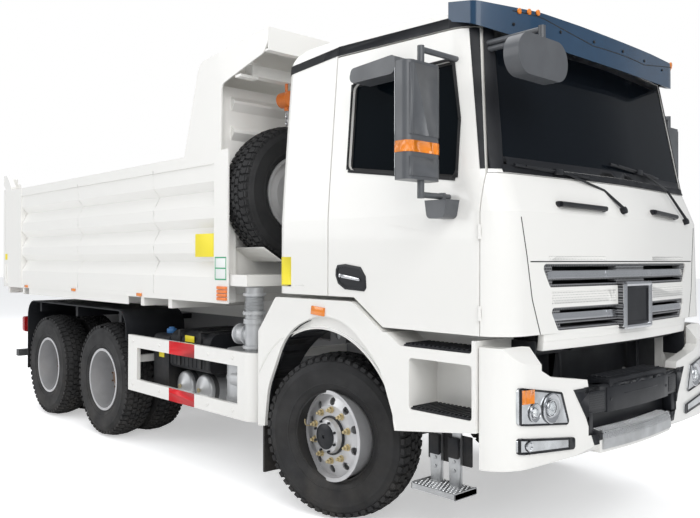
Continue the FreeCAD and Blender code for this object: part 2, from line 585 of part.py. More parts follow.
# Front axle beam with an eye for each kingpin, and the knuckles that turn on them
def make_front_axle():
    pin_y = S.kingpin_spread / 2
    z = S.tyre_radius
    half_eye = S.eye_height / 2
    beam_low = z - half_eye - S.beam_drop
    seat_y = S.rail_spread / 2
    above, below = z + half_eye - S.eye_step, z - half_eye + S.eye_step
    flat = pin_y - 2 * S.fork_reach
    top = [(-pin_y, above), (-(seat_y + 60), z - S.beam_drop + 45), (seat_y + 60, z - S.beam_drop + 45),
           (pin_y, above), (pin_y, below), (flat, below), (seat_y + 40, beam_low), (-(seat_y + 40), beam_low),
           (-flat, below), (-pin_y, below)]
    beam = prism("YZ", top, AXLE - S.beam_width / 2, AXLE + S.beam_width / 2)
    pieces = [beam]
    bores = []
    for label, side in SIDES:
        pieces.append(rod("Z", (AXLE, side * pin_y), S.eye_radius, z - half_eye, z + half_eye))
        bores.append(rod("Z", (AXLE, side * pin_y), S.kingpin_radius + S.pin_play, z - half_eye - 1, z + half_eye + 1))
        spring_x = [(behind(S.front_spring_rear), S.rail_top - S.rail_height - 30),
                    (AXLE - S.beam_width, z - S.beam_drop + 45 + 60), (AXLE + S.beam_width, z - S.beam_drop + 45 + 60),
                    (ahead(S.front_spring_front), S.rail_top - S.rail_height - 30),
                    (ahead(S.front_spring_front), S.rail_top - S.rail_height),
                    (ahead(S.front_spring_front - 80), S.rail_top - S.rail_height),
                    (AXLE + S.beam_width, z - S.beam_drop + 45 + 115), (AXLE - S.beam_width, z - S.beam_drop + 45 + 115),
                    (behind(S.front_spring_rear - 80), S.rail_top - S.rail_height),
                    (behind(S.front_spring_rear), S.rail_top - S.rail_height)]
        near = S.rail_spread / 2 - S.spring_width
        limits = (side * near, side * (near + S.spring_width))
        limits = limits if side > 0 else limits[::-1]
        pieces.append(prism("XZ", spring_x, *limits))
        pieces.append(block((AXLE - S.beam_width, AXLE + S.beam_width), limits,
                            (z - S.beam_drop + 40, z - S.beam_drop + 45 + 61)))
        fork = (side * (pin_y - S.fork_reach), side * (pin_y + S.knuckle_gap + S.knuckle_wall))
        plate = (side * (pin_y + S.knuckle_gap), side * (pin_y + S.knuckle_gap + S.knuckle_wall))
        fork = fork if side > 0 else fork[::-1]
        plate = plate if side > 0 else plate[::-1]
        x = (AXLE - S.fork_reach, AXLE + S.fork_reach)
        clear = half_eye + S.flat_gap
        spindle_end = S.front_track / 2 + S.front_disc_offset + S.disc_wall - 5
        reach = (side * (pin_y + S.knuckle_gap), side * spindle_end)
        reach = reach if side > 0 else reach[::-1]
        knuckle = [block(x, fork, (z + clear, z + clear + S.fork_wall)),
                   block(x, fork, (z - clear - S.fork_wall, z - clear)),
                   block(x, plate, (z - clear - S.fork_wall, z + clear + S.fork_wall)),
                   rod("Z", (AXLE, side * pin_y), S.kingpin_radius, z - clear - S.fork_wall, z + clear + S.fork_wall),
                   rod("Y", (AXLE, z), S.spindle_radius, *reach)]
        name("knuckle_" + label, join(knuckle))
    name("front_axle", cut(join(pieces), bores))


# Driven rear axles: a bowl with its nose, tubes and spindles, each one solid
def make_rear_axles():
    housings = []
    for x in (MIDDLE_AXLE, REAR_AXLE):
        end = S.rear_track / 2 + 65
        shoulder = S.rear_track / 2 - S.drum_length - 95
        half = S.axle_bowl_width / 2
        section = [(end, 0), (end, S.rear_spindle_radius), (shoulder, S.rear_spindle_radius),
                   (shoulder, S.axle_tube_radius), (half + 110, S.axle_tube_radius), (half, S.axle_bowl_radius)]
        points = section + [(-y, r) for y, r in reversed(section)]
        bowl = place(turned(points), x, 0, S.tyre_radius)
        nose = rod("X", (0, S.tyre_radius + 40), S.axle_nose_radius, x, x + S.axle_nose)
        housings.append(join([bowl, nose]))
    return name("rear_axles", gather(housings))


# Rear springs: a tapered stack per side on a trunnion, resting on both axles
def make_suspension():
    stacks = []
    middle = MIDDLE_AXLE - S.tandem_spacing / 2
    reach = S.tandem_spacing / 2 + 60
    low = S.tyre_radius + S.axle_tube_radius + S.flat_gap
    for label, side in SIDES:
        near = side * (S.rear_spring_spread - S.spring_width) / 2
        far = side * (S.rear_spring_spread + S.spring_width) / 2
        limits = (near, far) if side > 0 else (far, near)
        stack = [(middle - reach, low), (middle + reach, low), (middle + reach, low + 30),
                 (middle + 150, low + S.spring_leaf_stack), (middle - 150, low + S.spring_leaf_stack),
                 (middle - reach, low + 30)]
        bracket_y = (side * S.rail_spread / 2, far) if side > 0 else (far, side * S.rail_spread / 2)
        saddle = [(middle - 170, low + S.spring_leaf_stack), (middle + 170, low + S.spring_leaf_stack),
                  (middle + 240, S.rail_top - 60), (middle - 240, S.rail_top - 60)]
        stacks.append(join([prism("XZ", stack, *limits), prism("XZ", saddle, *bracket_y)]))
    return name("suspension", gather(stacks))


# Engine with its gearbox, radiator and propeller shafts, as plain masses at their real places
def make_powertrain():
    half = S.engine_width / 2
    chamfer = 110
    section = [(-half + chamfer, S.engine_low), (half - chamfer, S.engine_low), (half, S.engine_low + chamfer),
               (half, S.engine_top - chamfer), (half - chamfer, S.engine_top), (-half + chamfer, S.engine_top),
               (-half, S.engine_top - chamfer), (-half, S.engine_low + chamfer)]
    engine = prism("YZ", section, behind(S.engine_rear), ahead(S.engine_front))
    gearbox = block((behind(S.gearbox_rear), behind(S.engine_rear)), (-S.gearbox_width / 2, S.gearbox_width / 2),
                    (S.engine_low, S.gearbox_top))
    front_shaft = rod("X", (0, S.shaft_height), S.shaft_radius, MIDDLE_AXLE + S.axle_nose + S.flat_gap,
                      behind(S.gearbox_rear) - S.flat_gap)
    short_shaft = rod("X", (0, S.tyre_radius + 40), S.shaft_radius, REAR_AXLE + S.axle_nose + S.flat_gap,
                      MIDDLE_AXLE - S.axle_bowl_radius - S.flat_gap)
    member = ahead(S.rail_front - S.member_width) - S.flat_gap
    radiator = block((member - S.radiator_depth, member), (-S.radiator_width / 2, S.radiator_width / 2),
                     (S.radiator_low, S.radiator_top))
    web = S.rail_spread / 2 - S.rail_wall
    mounts = [block((ahead(S.mount_ahead), ahead(S.mount_ahead + 100)), span(side, half - 10, web),
                    (S.rail_top - 190, S.rail_top - 130)) for side in (RIGHT, LEFT)]
    return name("powertrain", gather([join([engine, gearbox] + mounts), front_shaft, short_shaft, radiator]))


# The cab's outer form, or the same form set in by a wall
cab_forms = {}


def plan_points(front, half_width, inset):
    half = half_width - inset
    tip = ahead(front - inset)
    side = tip - S.front_crown
    radius = S.front_corner_radius - inset
    rear = behind(S.cab_rear - inset)
    back = S.rear_corner_radius - inset / 2
    return [(rear, -half, back), (side, -half, radius), (tip, 0, S.crown_radius), (side, half, radius),
            (rear, half, back)]


def cab_form(inset):
    """Lofted cab block, trimmed to its side profile; each inset is built once."""
    inset = size(inset)
    if inset.text in cab_forms:
        return cab_forms[inset.text]
    body = new_body("CabForm")
    levels = [(S.cab_front_low, S.half_width, S.cab_sill - 60), (S.cab_front_belt, S.half_width, S.belt_height),
              (S.cab_front_screen, S.half_width_screen, S.screen_foot),
              (S.cab_front_top, S.half_width_top, S.cab_top + 60)]
    sections = [outline(body, "XY", plan_points(front, half, inset), z) for front, half, z in levels]
    loft = body.newObject("PartDesign::AdditiveLoft", "Loft")
    loft.Profile = sections[0]
    loft.Sections = sections[1:]
    loft.Ruled = True
    rear = behind(S.cab_rear + 100)
    nose = ahead(S.cab_front_low + 200)
    shell = [(rear, S.cab_low + inset), (ahead(S.arch_cut_rear), S.cab_low + inset),
             (ahead(S.arch_cut_front), S.cab_sill + inset), (nose, S.cab_sill + inset),
             (nose, S.roof_front_low - inset - 90), (ahead(S.cab_front_top), S.roof_front_low - inset - 20),
             (ahead(S.visor_rear), S.roof_front_low - inset), (ahead(S.visor_rear / 2), S.cab_top - 12 - inset),
             (AXLE, S.cab_top - inset), (behind(S.cab_rear / 2), S.cab_top - 5 - inset),
             (behind(S.cab_rear - 110), S.roof_rear_mid - inset), (behind(S.cab_rear - inset / 2), S.roof_rear_low - inset),
             (rear, S.roof_rear_low - inset - 40)]
    side_profile = prism("XZ", shell, -S.half_width - 200, S.half_width + 200)
    cab_forms[inset.text] = common([body, side_profile])
    return cab_forms[inset.text]


def door_outline(gap):
    """Outline of a door in side view, grown by the shut gap for its opening."""
    return [(ahead(S.door_rear - gap), S.cab_sill - 300), (ahead(S.door_front + gap), S.cab_sill - 300),
            (ahead(S.door_front + gap), S.window_low_front), (ahead(S.door_pillar_top + gap), S.door_top_front + gap),
            (ahead(S.door_rear - gap), S.door_top_rear + gap)]


def window_outline(grow):
    """Outline of a door window in side view."""
    radius = S.window_radius + grow
    return [(ahead(S.window_rear - grow), S.window_low_rear - grow, radius),
            (ahead(S.window_front + grow), S.window_low_front - grow, radius),
            (ahead(S.window_front + grow), S.window_low_front + 320, radius * 4),
            (ahead(S.window_front_top + grow), S.window_top + grow, radius),
            (ahead(S.window_rear - grow), S.window_top + grow, radius)]


def screen_outline(grow):
    """Outline of the windscreen in front view."""
    return [(-S.screen_half_low - grow, S.screen_low - grow), (S.screen_half_low + grow, S.screen_low - grow),
            (S.screen_half_top + grow, S.screen_top + grow), (-S.screen_half_top - grow, S.screen_top + grow)]


# A door's two hinges on the shut line: its knuckles turn on pins that stand in the front panel's knuckles
def door_hinges(side):
    axis = (ahead(S.hinge_ahead), side * S.half_width)
    half = S.hinge_knuckle / 2
    made = {"pins": [], "door": [], "panel": [], "door_room": [], "panel_room": [], "bores": []}

    def add(kind, radius, low, high):
        made[kind].append(rod("Z", axis, radius, low, high))

    for z in (S.hinge_low, S.hinge_high):
        low, high = z - S.hinge_knuckle, z + S.hinge_knuckle
        add("pins", S.hinge_pin, low, high)
        add("bores", S.hinge_pin + S.pin_play, low, high)
        add("door", S.hinge_radius, z - half, z + half)
        add("door_room", S.hinge_radius + S.hinge_play, z - half - S.flat_gap, z + half + S.flat_gap)
        add("panel", S.hinge_radius, low, z - half - S.flat_gap)
        add("panel", S.hinge_radius, z + half + S.flat_gap, high)
        add("panel_room", S.hinge_radius + S.hinge_play, low - S.hinge_play, z - half)
        add("panel_room", S.hinge_radius + S.hinge_play, z + half, high + S.hinge_play)
    return made


def make_cab():
    outer = cab_form(0)
    inner = cab_form(S.cab_wall)
    shell = cut(outer, [inner])
    wide = S.half_width + 100
    nose = ahead(S.cab_front_low + 100)
    split = (ahead(S.panel_rear), nose)
    low = S.cab_sill - 100
    gap = S.shut_gap / 2
    openings = []
    reach = (behind(S.cab_rear), nose)
    skin = S.half_width - S.cab_wall
    sill_top = S.cab_low + S.cab_wall + 10
    floor = block(reach, (-skin, skin), (low, sill_top))
    sill = block(reach, (-(skin - S.shut_gap), skin - S.shut_gap), (low, sill_top))
    glass_band = cut(cab_form(S.glass_depth), [cab_form(S.glass_depth + S.glass_wall)])
    hinges = {label: door_hinges(side) for label, side in SIDES}
    for label, side in SIDES:
        limits = span(side, S.half_width_top - 2 * S.cab_wall, wide)
        deeper = span(side, S.half_width_top - 2 * S.cab_wall - S.door_gap, wide)
        openings.append(cut(prism("XZ", door_outline(S.door_gap), *deeper), [sill]))
        door = common([shell, prism("XZ", door_outline(0), *limits)])
        hinge = hinges[label]
        leaf = cut(door, [floor, prism("XZ", window_outline(0), *limits)] + hinge["panel_room"])
        name("door_" + label, cut(join([leaf] + hinge["door"]), hinge["bores"]))
        name("door_glass_" + label, common([glass_band, prism("XZ", window_outline(-2 * S.flat_gap), *limits)]))
    screen_cut = prism("YZ", screen_outline(0), ahead(S.door_front - 200), nose)
    panel_zone = block(split, (-wide, wide), (low, S.panel_split))
    tilt = (ahead(S.tilt_ahead), S.tilt_height)
    arm_rear, arm_front = ahead(S.tilt_ahead - 90), ahead(S.tilt_ahead - 30)
    slot = split[0] - S.flat_gap
    arm = [(arm_rear, S.tilt_height), (arm_front, S.tilt_height), (arm_front, S.cab_sill - 60),
           (slot, S.cab_sill - 20), (slot, S.cab_sill + 20), (arm_rear, S.cab_sill + 20)]
    arms = []
    bores = []
    for side in (RIGHT, LEFT):
        near = S.rail_spread / 2 + S.tilt_arm / 3 + S.tilt_play
        limits = span(side, near, near + S.tilt_arm / 2)
        arms.append(prism("XZ", arm, *limits))
        arms.append(rod("Y", tilt, 2 * S.tilt_pin_radius, *limits))
        bores.append(rod("Y", tilt, S.tilt_pin_radius + S.pin_play, *limits))
    grown = block((split[0] - gap, nose), (-wide, wide), (low, S.panel_split + gap))
    body = cut(shell, openings + [screen_cut, grown])
    name("cab_shell", cut(join([body] + arms), bores))
    make_front_panel(shell, panel_zone, nose, list(hinges.values()))
    glass_band = cut(cab_form(8), [cab_form(8 + 2 * S.glass_wall)])
    name("windscreen", common([glass_band, prism("YZ", screen_outline(-S.flat_gap), ahead(S.door_front - 200), nose)]))
    make_visor(wide)


# Sun visor: a hood that runs from the roof's front edge out over the windscreen, open below
def make_visor(wide):
    def plan(inset):
        end = S.visor_half - inset
        return prism("XY", [(ahead(S.visor_rear), -end), (ahead(S.visor_end) - inset, -end, 60),
                            (ahead(S.visor_front - S.visor_sweep) - inset, -(S.visor_half - S.visor_bend), 250),
                            (ahead(S.visor_front) - inset, 0, 3000),
                            (ahead(S.visor_front - S.visor_sweep) - inset, S.visor_half - S.visor_bend, 250),
                            (ahead(S.visor_end) - inset, end, 60), (ahead(S.visor_rear), end)],
                     S.visor_low - 100, S.cab_top + 100)

    def side_view(drop, low):
        return prism("XZ", [(ahead(S.visor_rear - 5), S.visor_rear_low - low), (ahead(S.visor_end - 30), S.visor_end_low - low),
                            (ahead(S.visor_front + 10), S.visor_low - low), (ahead(S.visor_front + 10), S.visor_top - drop),
                            (ahead(S.visor_front - 40), S.visor_top + 25 - drop, 40), (ahead(S.visor_end), S.cab_top - 22 - drop),
                            (ahead(S.visor_rear - 5), S.cab_top + 12 - drop)], -wide, wide)

    hood = common([plan(0), side_view(0, 0)])
    hollow = common([plan(S.visor_wall), side_view(S.visor_wall, 60)])
    name("visor", cut(hood, [hollow, cab_form(-S.flat_gap)]))


# The front panel below the windscreen, with its grille opening, slats and centre plate
def make_front_panel(shell, zone, nose, hinges):
    reach = (ahead(S.tilt_ahead), nose)

    def trapezium(low, high, half_low, half_high, play):
        return [(-half_low + play, low + play, 25), (half_low - play, low + play, 25),
                (half_high - play, high - play, 25), (-half_high + play, high - play, 25)]

    rows = [(S.grille_upper_low, S.grille_upper_top, S.grille_upper_half - S.grille_lean, S.grille_upper_half),
            (S.grille_lower_low, S.grille_lower_top, S.grille_lower_half - S.grille_lean, S.grille_lower_half)]
    tools = [prism("YZ", trapezium(*row, 0), *reach) for row in rows]
    tools.append(prism("YZ", rect(-S.badge_half, S.badge_half, S.badge_low, S.badge_top, 30), *reach))
    for hinge in hinges:
        tools.extend(hinge["door_room"])
    panel = cut(common([shell, zone]), tools)
    name("front_panel", join([panel] + [part for hinge in hinges for part in hinge["pins"] + hinge["panel"]]))
    band = cut(cab_form(S.grille_inset), [cab_form(S.grille_inset + S.grille_depth)])
    bars = [common([band, prism("YZ", trapezium(*row, S.flat_gap), *reach)]) for row in rows]
    inside = size(S.badge_half) - S.flat_gap
    plate = prism("YZ", rect(-inside, inside, S.badge_low + S.flat_gap, S.badge_top - S.flat_gap, 30),
                  ahead(S.cab_front_belt - S.grille_depth - 20), ahead(S.cab_front_low + S.badge_proud))
    count = int(S.slat_count.number)
    gaps = []
    for low, high, half_low, half_high in rows:
        pitch = (high - low - S.slat_height) / (count - 1)
        for k in range(count - 1):
            gap_low = low + S.slat_height + k * pitch
            for side in (RIGHT, LEFT):
                gaps.append(block(reach, span(side, S.badge_half, half_low - 2 * S.slat_height),
                                  (gap_low, gap_low + pitch - S.slat_height)))
    name("grille", join([cut(join(bars), gaps), plate]))


# Seats, dashboard and steering wheel inside the cab
def make_cab_interior():
    pieces = []
    floor = S.cab_low + S.cab_wall + S.flat_gap
    cushion = S.seat_height
    back = S.seat_height + S.seat_back
    for side in (RIGHT, LEFT):
        middle = side * S.seat_side
        seat = [(ahead(S.seat_ahead - 390), floor), (ahead(S.seat_ahead - 30), floor), (ahead(S.seat_ahead), cushion - 110),
                (ahead(S.seat_ahead + 130), cushion - 100, 40), (ahead(S.seat_ahead + 130), cushion, 40),
                (ahead(S.seat_ahead - 340), cushion - 25, 30), (ahead(S.seat_ahead - 440), back, 40),
                (ahead(S.seat_ahead - 540), back - 20, 40), (ahead(S.seat_ahead - 450), cushion - 60)]
        pieces.append(prism("XZ", seat, middle - S.seat_width / 2, middle + S.seat_width / 2))
    front = S.panel_rear + S.dash_reach
    rear = S.panel_rear - S.dash_depth
    foot = S.cab_sill + S.cab_wall + S.flat_gap
    dash = [(ahead(rear + 40), S.dash_height - 420, 60), (ahead(front - 90), S.dash_height - 520), (ahead(front - 90), foot),
            (ahead(front), foot), (ahead(front), S.dash_height + 30), (ahead(front - 120), S.dash_height + 40, 60),
            (ahead(rear), S.dash_height - 60, 60)]
    half = S.half_width_screen - S.cab_wall - 90
    parts = [prism("XZ", dash, -half, half)]
    lean = math.radians(S.wheel_lean.number)
    turn = FreeCAD.Rotation(FreeCAD.Vector(0, 1, 0), -S.wheel_lean.number)
    x, y, z = ahead(rear - S.wheel_ahead), S.seat_side, S.dash_height + S.wheel_rise
    ring = doc.addObject("Part::Torus", "Ring")
    bind(ring, "Radius1", S.wheel_radius)
    bind(ring, "Radius2", S.wheel_grip)
    column = doc.addObject("Part::Cylinder", "Column")
    bind(column, "Radius", 2 * S.wheel_grip)
    bind(column, "Height", S.column_length)
    spoke = doc.addObject("Part::Box", "Spoke")
    bind(spoke, "Length", S.wheel_grip * 2)
    bind(spoke, "Width", S.wheel_radius * 2)
    bind(spoke, "Height", S.wheel_grip)
    for piece, down, across, aside in ((ring, 0, 0, 0), (column, S.column_length, 0, 0), (spoke, S.wheel_grip / 2, S.wheel_grip, S.wheel_radius)):
        piece.Placement.Rotation = turn
        place(piece, x + down * math.sin(lean) - across * math.cos(lean), y - aside,
              z - down * math.cos(lean) - across * math.sin(lean))
    pieces.append(join(parts + [ring, column, spoke]))
    return name("cab_interior", gather(pieces))


def lamp_outlines(side, play):
    """Outlines of a headlamp and of the fog lamp below it in front view, shrunk by the play."""
    far = S.lamp_outer - play
    outlines = []
    for near, near_top, low, top, far_low, far_top in (
            (S.lamp_inner, S.lamp_top_inner, S.lamp_low, S.lamp_top, S.lamp_low_outer, S.lamp_top_outer),
            (S.fog_inner, S.fog_inner, S.fog_low, S.fog_top, S.fog_low_outer, S.fog_top_outer)):
        outlines.append([(side * (near + play), low + play, 20), (side * far, far_low + play, 20),
                         (side * far, far_top - play, 20), (side * (near_top + play), top - play, 20)])
    return outlines


# Bumper: a deep curved section, low in the middle so that the cab's arms pass over it
def make_bumper():
    wide = S.half_width
    rear = ahead(S.door_front)

    def plan(inset):
        tip = ahead(S.bumper_front - inset)
        side = tip - S.bumper_crown
        radius = S.bumper_corner_radius - inset
        half = wide - inset
        return [(rear, -half), (side, -half, radius), (tip, 0, 3600), (side, half, radius), (rear, half)]

    body = new_body("Bumper")
    pad(body, "XY", plan(0), S.bumper_low, S.bumper_top)
    pocket(body, "XY", plan(S.bumper_wall), S.bumper_low - 1, S.bumper_top + 1)
    nose = ahead(S.bumper_front + 20)
    flat = S.bumper_flat_half
    edge = [(S.bumper_dip_half, S.bumper_top + 1), (S.bumper_dip_half, S.bumper_shoulder + 40),
            (S.bumper_shoulder_half, S.bumper_shoulder, 30), (flat + 10, S.bumper_shelf), (flat, S.bumper_dip)]
    dip = edge + [(-spot[0],) + spot[1:] for spot in reversed(edge)]
    pocket(body, "YZ", dip, rear - 10, nose)
    centre = rect(-S.bumper_opening_half, S.bumper_opening_half, S.bumper_opening_low, S.bumper_opening_top)
    pocket(body, "YZ", centre, rear - 10, nose)
    lean = [(ahead(S.bumper_front - S.bumper_crown - 60), S.bumper_top + 2), (nose, S.bumper_top + 2), (nose, S.bumper_dip + 40)]
    pocket(body, "XZ", lean, -wide - 10, wide + 10)
    tuck = [(rear - 10, S.bumper_low - 2), (nose, S.bumper_low - 2), (nose, S.bumper_low + 150),
            (ahead(S.bumper_front - 60), S.bumper_low + 20), (ahead(S.door_front + 30), S.bumper_low + 1)]
    for side in (RIGHT, LEFT):
        pocket(body, "XZ", tuck, *span(side, S.step_half + 15, wide + 10))
        for outline in lamp_outlines(side, 0):
            pocket(body, "YZ", outline, rear + 10, nose)
    rail = S.rail_top - S.rail_height
    end = ahead(S.bumper_front - S.bumper_wall + 10)
    bracket = [(ahead(S.rail_front), rail), (ahead(S.rail_front), rail + 60), (ahead(S.rail_front + 70), rail + 60),
               (end - 60, S.bumper_opening_low - 15), (end, S.bumper_opening_low - 15), (end, S.bumper_low + 40)]
    brackets = [prism("XZ", bracket, *span(side, S.rail_spread / 2 - S.rail_flange + 10, S.rail_spread / 2 - 10))
                for side in (RIGHT, LEFT)]
    name("bumper", join([body] + brackets))
    make_bumper_fittings(plan, rear, nose)


# Lamps, the dark centre grille and the step plate, all set into the bumper
def make_bumper_fittings(plan, rear, nose):
    lamps = []
    band = prism("XY", plan(-S.lamp_proud), S.bumper_low, S.bumper_top)
    inner = prism("XY", plan(S.bumper_wall - 10), S.bumper_low - 1, S.bumper_top + 1)
    ring = cut(band, [inner])
    for side in (RIGHT, LEFT):
        for outline in lamp_outlines(side, 2 * S.flat_gap):
            lamps.append(common([ring, prism("YZ", outline, rear + 10, nose)]))
    name("headlamps", gather(lamps))
    play = S.flat_gap
    mesh_ring = cut(prism("XY", plan(12), S.bumper_low, S.bumper_top), [prism("XY", plan(S.bumper_wall), S.bumper_low - 1, S.bumper_top + 1)])
    centre = rect(-S.bumper_opening_half + play, S.bumper_opening_half - play, S.bumper_opening_low + play,
                  S.bumper_opening_top - play)
    name("bumper_grille", common([mesh_ring, prism("YZ", centre, rear, nose)]))
    step_ring = cut(prism("XY", plan(-S.step_proud), S.step_low, S.step_top), [prism("XY", plan(-play), S.step_low - 1, S.step_top + 1)])
    name("step_plate", common([step_ring, prism("YZ", rect(-S.step_half, S.step_half, S.step_low, S.step_top), rear, nose)]))


# Front fenders: skin round the arch, tub inside it, step box with two recessed treads, flap and brackets
def make_fenders():
    skin = (S.fender_outer - S.fender_wall, S.fender_outer)
    deep = (S.fender_inner, S.fender_outer - S.fender_wall)
    top = S.cab_low - S.fender_sill_gap
    sill = S.cab_sill - S.fender_sill_gap
    rear, front = behind(S.fender_rear), ahead(S.fender_front - 8)
    shape = [(rear, S.fender_rear_low), (front, S.fender_low), (front, sill),
             (ahead(S.arch_cut_front + 10), sill, 60), (ahead(S.arch_cut_rear), top, 120), (behind(S.cab_rear), top, 40),
             (rear, top - S.fender_shoulder)]
    arch = [(behind(S.arch_rear_low), S.fender_rear_low - 100), (behind(S.arch_rear), S.arch_rear_height, S.arch_round),
            (behind(S.arch_haunch), S.arch_haunch_height, S.arch_round), (behind(S.arch_top_rear), S.arch_top, S.arch_round),
            (ahead(S.arch_top_front), S.arch_top, S.arch_round), (ahead(S.arch_brow), S.arch_brow_height, S.arch_round),
            (ahead(S.arch_front), S.arch_front_height, S.arch_round), (ahead(S.arch_front), S.fender_rear_low - 100)]
    panel = cut(prism("XZ", shape, *skin), [prism("XZ", arch, skin[0] - 1, skin[1] + 1)])
    sweep = rod("Y", (AXLE, S.tyre_radius), S.tub_radius, deep[0] - 1, deep[1] + 1)
    tub = cut(prism("XZ", shape, *deep), [sweep])
    upper = [(ahead(S.upper_tread_rear), S.upper_tread, 20), (ahead(S.tread_front), S.upper_tread, 20),
             (ahead(S.tread_front), sill + 10), (ahead(S.upper_tread_rear - S.upper_tread_slant), sill + 10)]
    lower = rect(ahead(S.lower_tread_rear), ahead(S.tread_front), S.lower_tread, S.lower_tread + S.lower_tread_height, 20)
    recesses = [prism("XZ", hole, S.tread_inner, S.fender_outer + 10) for hole in (upper, lower)]
    flap = block((rear - S.flap_wall, rear), (S.flap_inner, S.flap_outer), (S.flap_low, top - S.fender_shoulder - 100))
    web = S.rail_spread / 2
    low = S.rail_top - S.rail_height / 2
    brackets = [block((ahead(S.lower_tread_rear + 100), ahead(S.lower_tread_rear + 160)), (web, deep[0] + 5), (low, low + 60)),
                block((rear, rear + 40), (web, deep[0] + 5), (S.rail_top - 70, S.rail_top - 10)),
                block((rear, rear + 40), (deep[0] - 40, deep[0] + 5), (S.rail_top - 70, top - 200))]
    return name("fenders", both(cut(join([panel, tub, flap] + brackets), recesses)))


# Hanging steps under the step boxes, each on two straps
def make_steps():
    x = (ahead(S.hanging_rear), ahead(S.hanging_front))
    plate = block(x, (S.tread_inner + 40, S.half_width), (S.hanging_step - S.hanging_wall, S.hanging_step))
    straps = [block((at, at + S.stay_width), (S.tread_inner + 90, S.tread_inner + 105), (S.hanging_step - 5, S.strap_top))
              for at in (x[0] + 60, x[1] - 120)]
    rear, front = behind(S.fender_rear), ahead(S.fender_front - 8)
    above = [(rear, S.fender_rear_low - S.flat_gap), (front, S.fender_low - S.flat_gap), (front, S.strap_top + 20),
             (rear, S.strap_top + 20)]
    return name("steps", both(cut(join([plate] + straps), [prism("XZ", above, S.tread_inner, S.half_width)])))


# Side guards: a bent frame each side with its stays back to the frame rail
def make_side_guards():
    outer = S.guard_outer
    inner = outer - S.guard_wall
    rear, front = behind(S.guard_rear), behind(S.guard_front)
    plan = [(rear, outer), (front, outer, S.guard_nose_radius), (front, outer - S.guard_nose),
            (front - S.guard_wall, outer - S.guard_nose),
            (front - S.guard_wall, inner, S.guard_nose_radius - S.guard_wall), (rear, inner)]
    body = new_body("Guard")
    pad(body, "XY", plan, S.guard_low, S.guard_top)
    opening = rect(rear + S.guard_post, front - S.guard_nose, S.guard_low + S.guard_rail, S.guard_top - S.guard_rail)
    pocket(body, "XZ", opening, inner - 10, outer + 10)
    middle = (S.guard_low + S.guard_top) / 2
    web = S.rail_spread / 2
    heights = (middle - S.stay_width / 2, middle + S.stay_width / 2)
    stays = [block((rear + 30, rear + 30 + S.stay_width), (web, inner + 5), (heights[0] + 30, heights[1] + 30)),
             block((front - S.guard_wall, front), (web, outer - S.guard_nose + 5), (heights[0] + 30, heights[1] + 30))]
    return name("side_guards", both(join([body] + stays)))


# Battery box and urea tank on the right, fuel tank on the left, each strapped to the rail
def make_side_boxes():
    web = S.rail_spread / 2

    def tank(rear, front, outer, low, high, radius):
        section = [(-outer, low, radius / 2), (-outer, high, radius), (-S.box_inner, high), (-S.box_inner, low)]
        bracket = block(((rear + front) / 2 - S.stay_width, (rear + front) / 2 + S.stay_width),
                        (-S.box_inner - 10, -web), (low + 60, S.rail_top - 40))
        return join([prism("YZ", section, rear, front), bracket])

    battery = tank(behind(S.box_rear), behind(S.box_front), S.box_outer, S.box_low, S.box_top, S.box_radius)
    urea = tank(behind(S.urea_rear), behind(S.urea_front), S.box_outer, S.urea_low, S.urea_top, S.box_radius / 2)
    name("side_boxes", gather([battery, urea]))
    fuel = tank(behind(S.fuel_rear), behind(S.fuel_front), S.box_outer, S.fuel_low, S.fuel_top, S.fuel_radius)
    name("fuel_tank", mirrored(fuel))


# Two air tanks lying across under the battery box, hung from its bracket
def make_air_tanks():
    tanks = []
    for k in (0, 1):
        x = behind(S.air_ahead + k * S.air_spacing)
        end = -S.box_outer + 40
        dome = S.air_radius / 3
        section = [(end, 0), (end + dome, S.air_radius, 30), (end + S.air_length - dome, S.air_radius, 30),
                   (end + S.air_length, 0)]
        shell = place(turned(section), x, 0, S.air_height)
        top = S.box_low - S.flat_gap
        strap = block((x - 25, x + 25), (end + S.air_length / 3, end + S.air_length / 3 + 40), (S.air_height, top))
        tanks.append(join([shell, strap]))
    return name("air_tanks", gather(tanks))


# Exhaust: muffler drum, cross pipe and the stack that warms the bed
def make_exhaust():
    drum = rod("Z", (behind(S.muffler_ahead), -S.muffler_side), S.muffler_radius, S.muffler_low, S.muffler_top)
    neck = rod("Z", (behind(S.pipe_ahead), -S.pipe_side), S.pipe_radius, S.muffler_low + 120, S.pipe_top)
    link = rod("X", (-S.pipe_side, (S.muffler_low + S.muffler_top) / 2), S.pipe_radius - 8,
               behind(S.muffler_ahead), behind(S.pipe_ahead))
    elbow = rod("X", (-S.pipe_side, S.pipe_elbow), S.pipe_radius - 6, behind(S.pipe_ahead + 190), behind(S.pipe_ahead))
    collar = rod("Z", (behind(S.pipe_ahead), -S.pipe_side), S.pipe_radius + 14, S.pipe_elbow + 90, S.pipe_elbow + 125)
    hanger = block((behind(S.muffler_ahead + 40), behind(S.muffler_ahead - 40)),
                   (-S.muffler_side, -S.rail_spread / 2), (S.rail_top - 250, S.rail_top - 225))
    return name("exhaust", join([drum, neck, link, elbow, collar, hanger]))


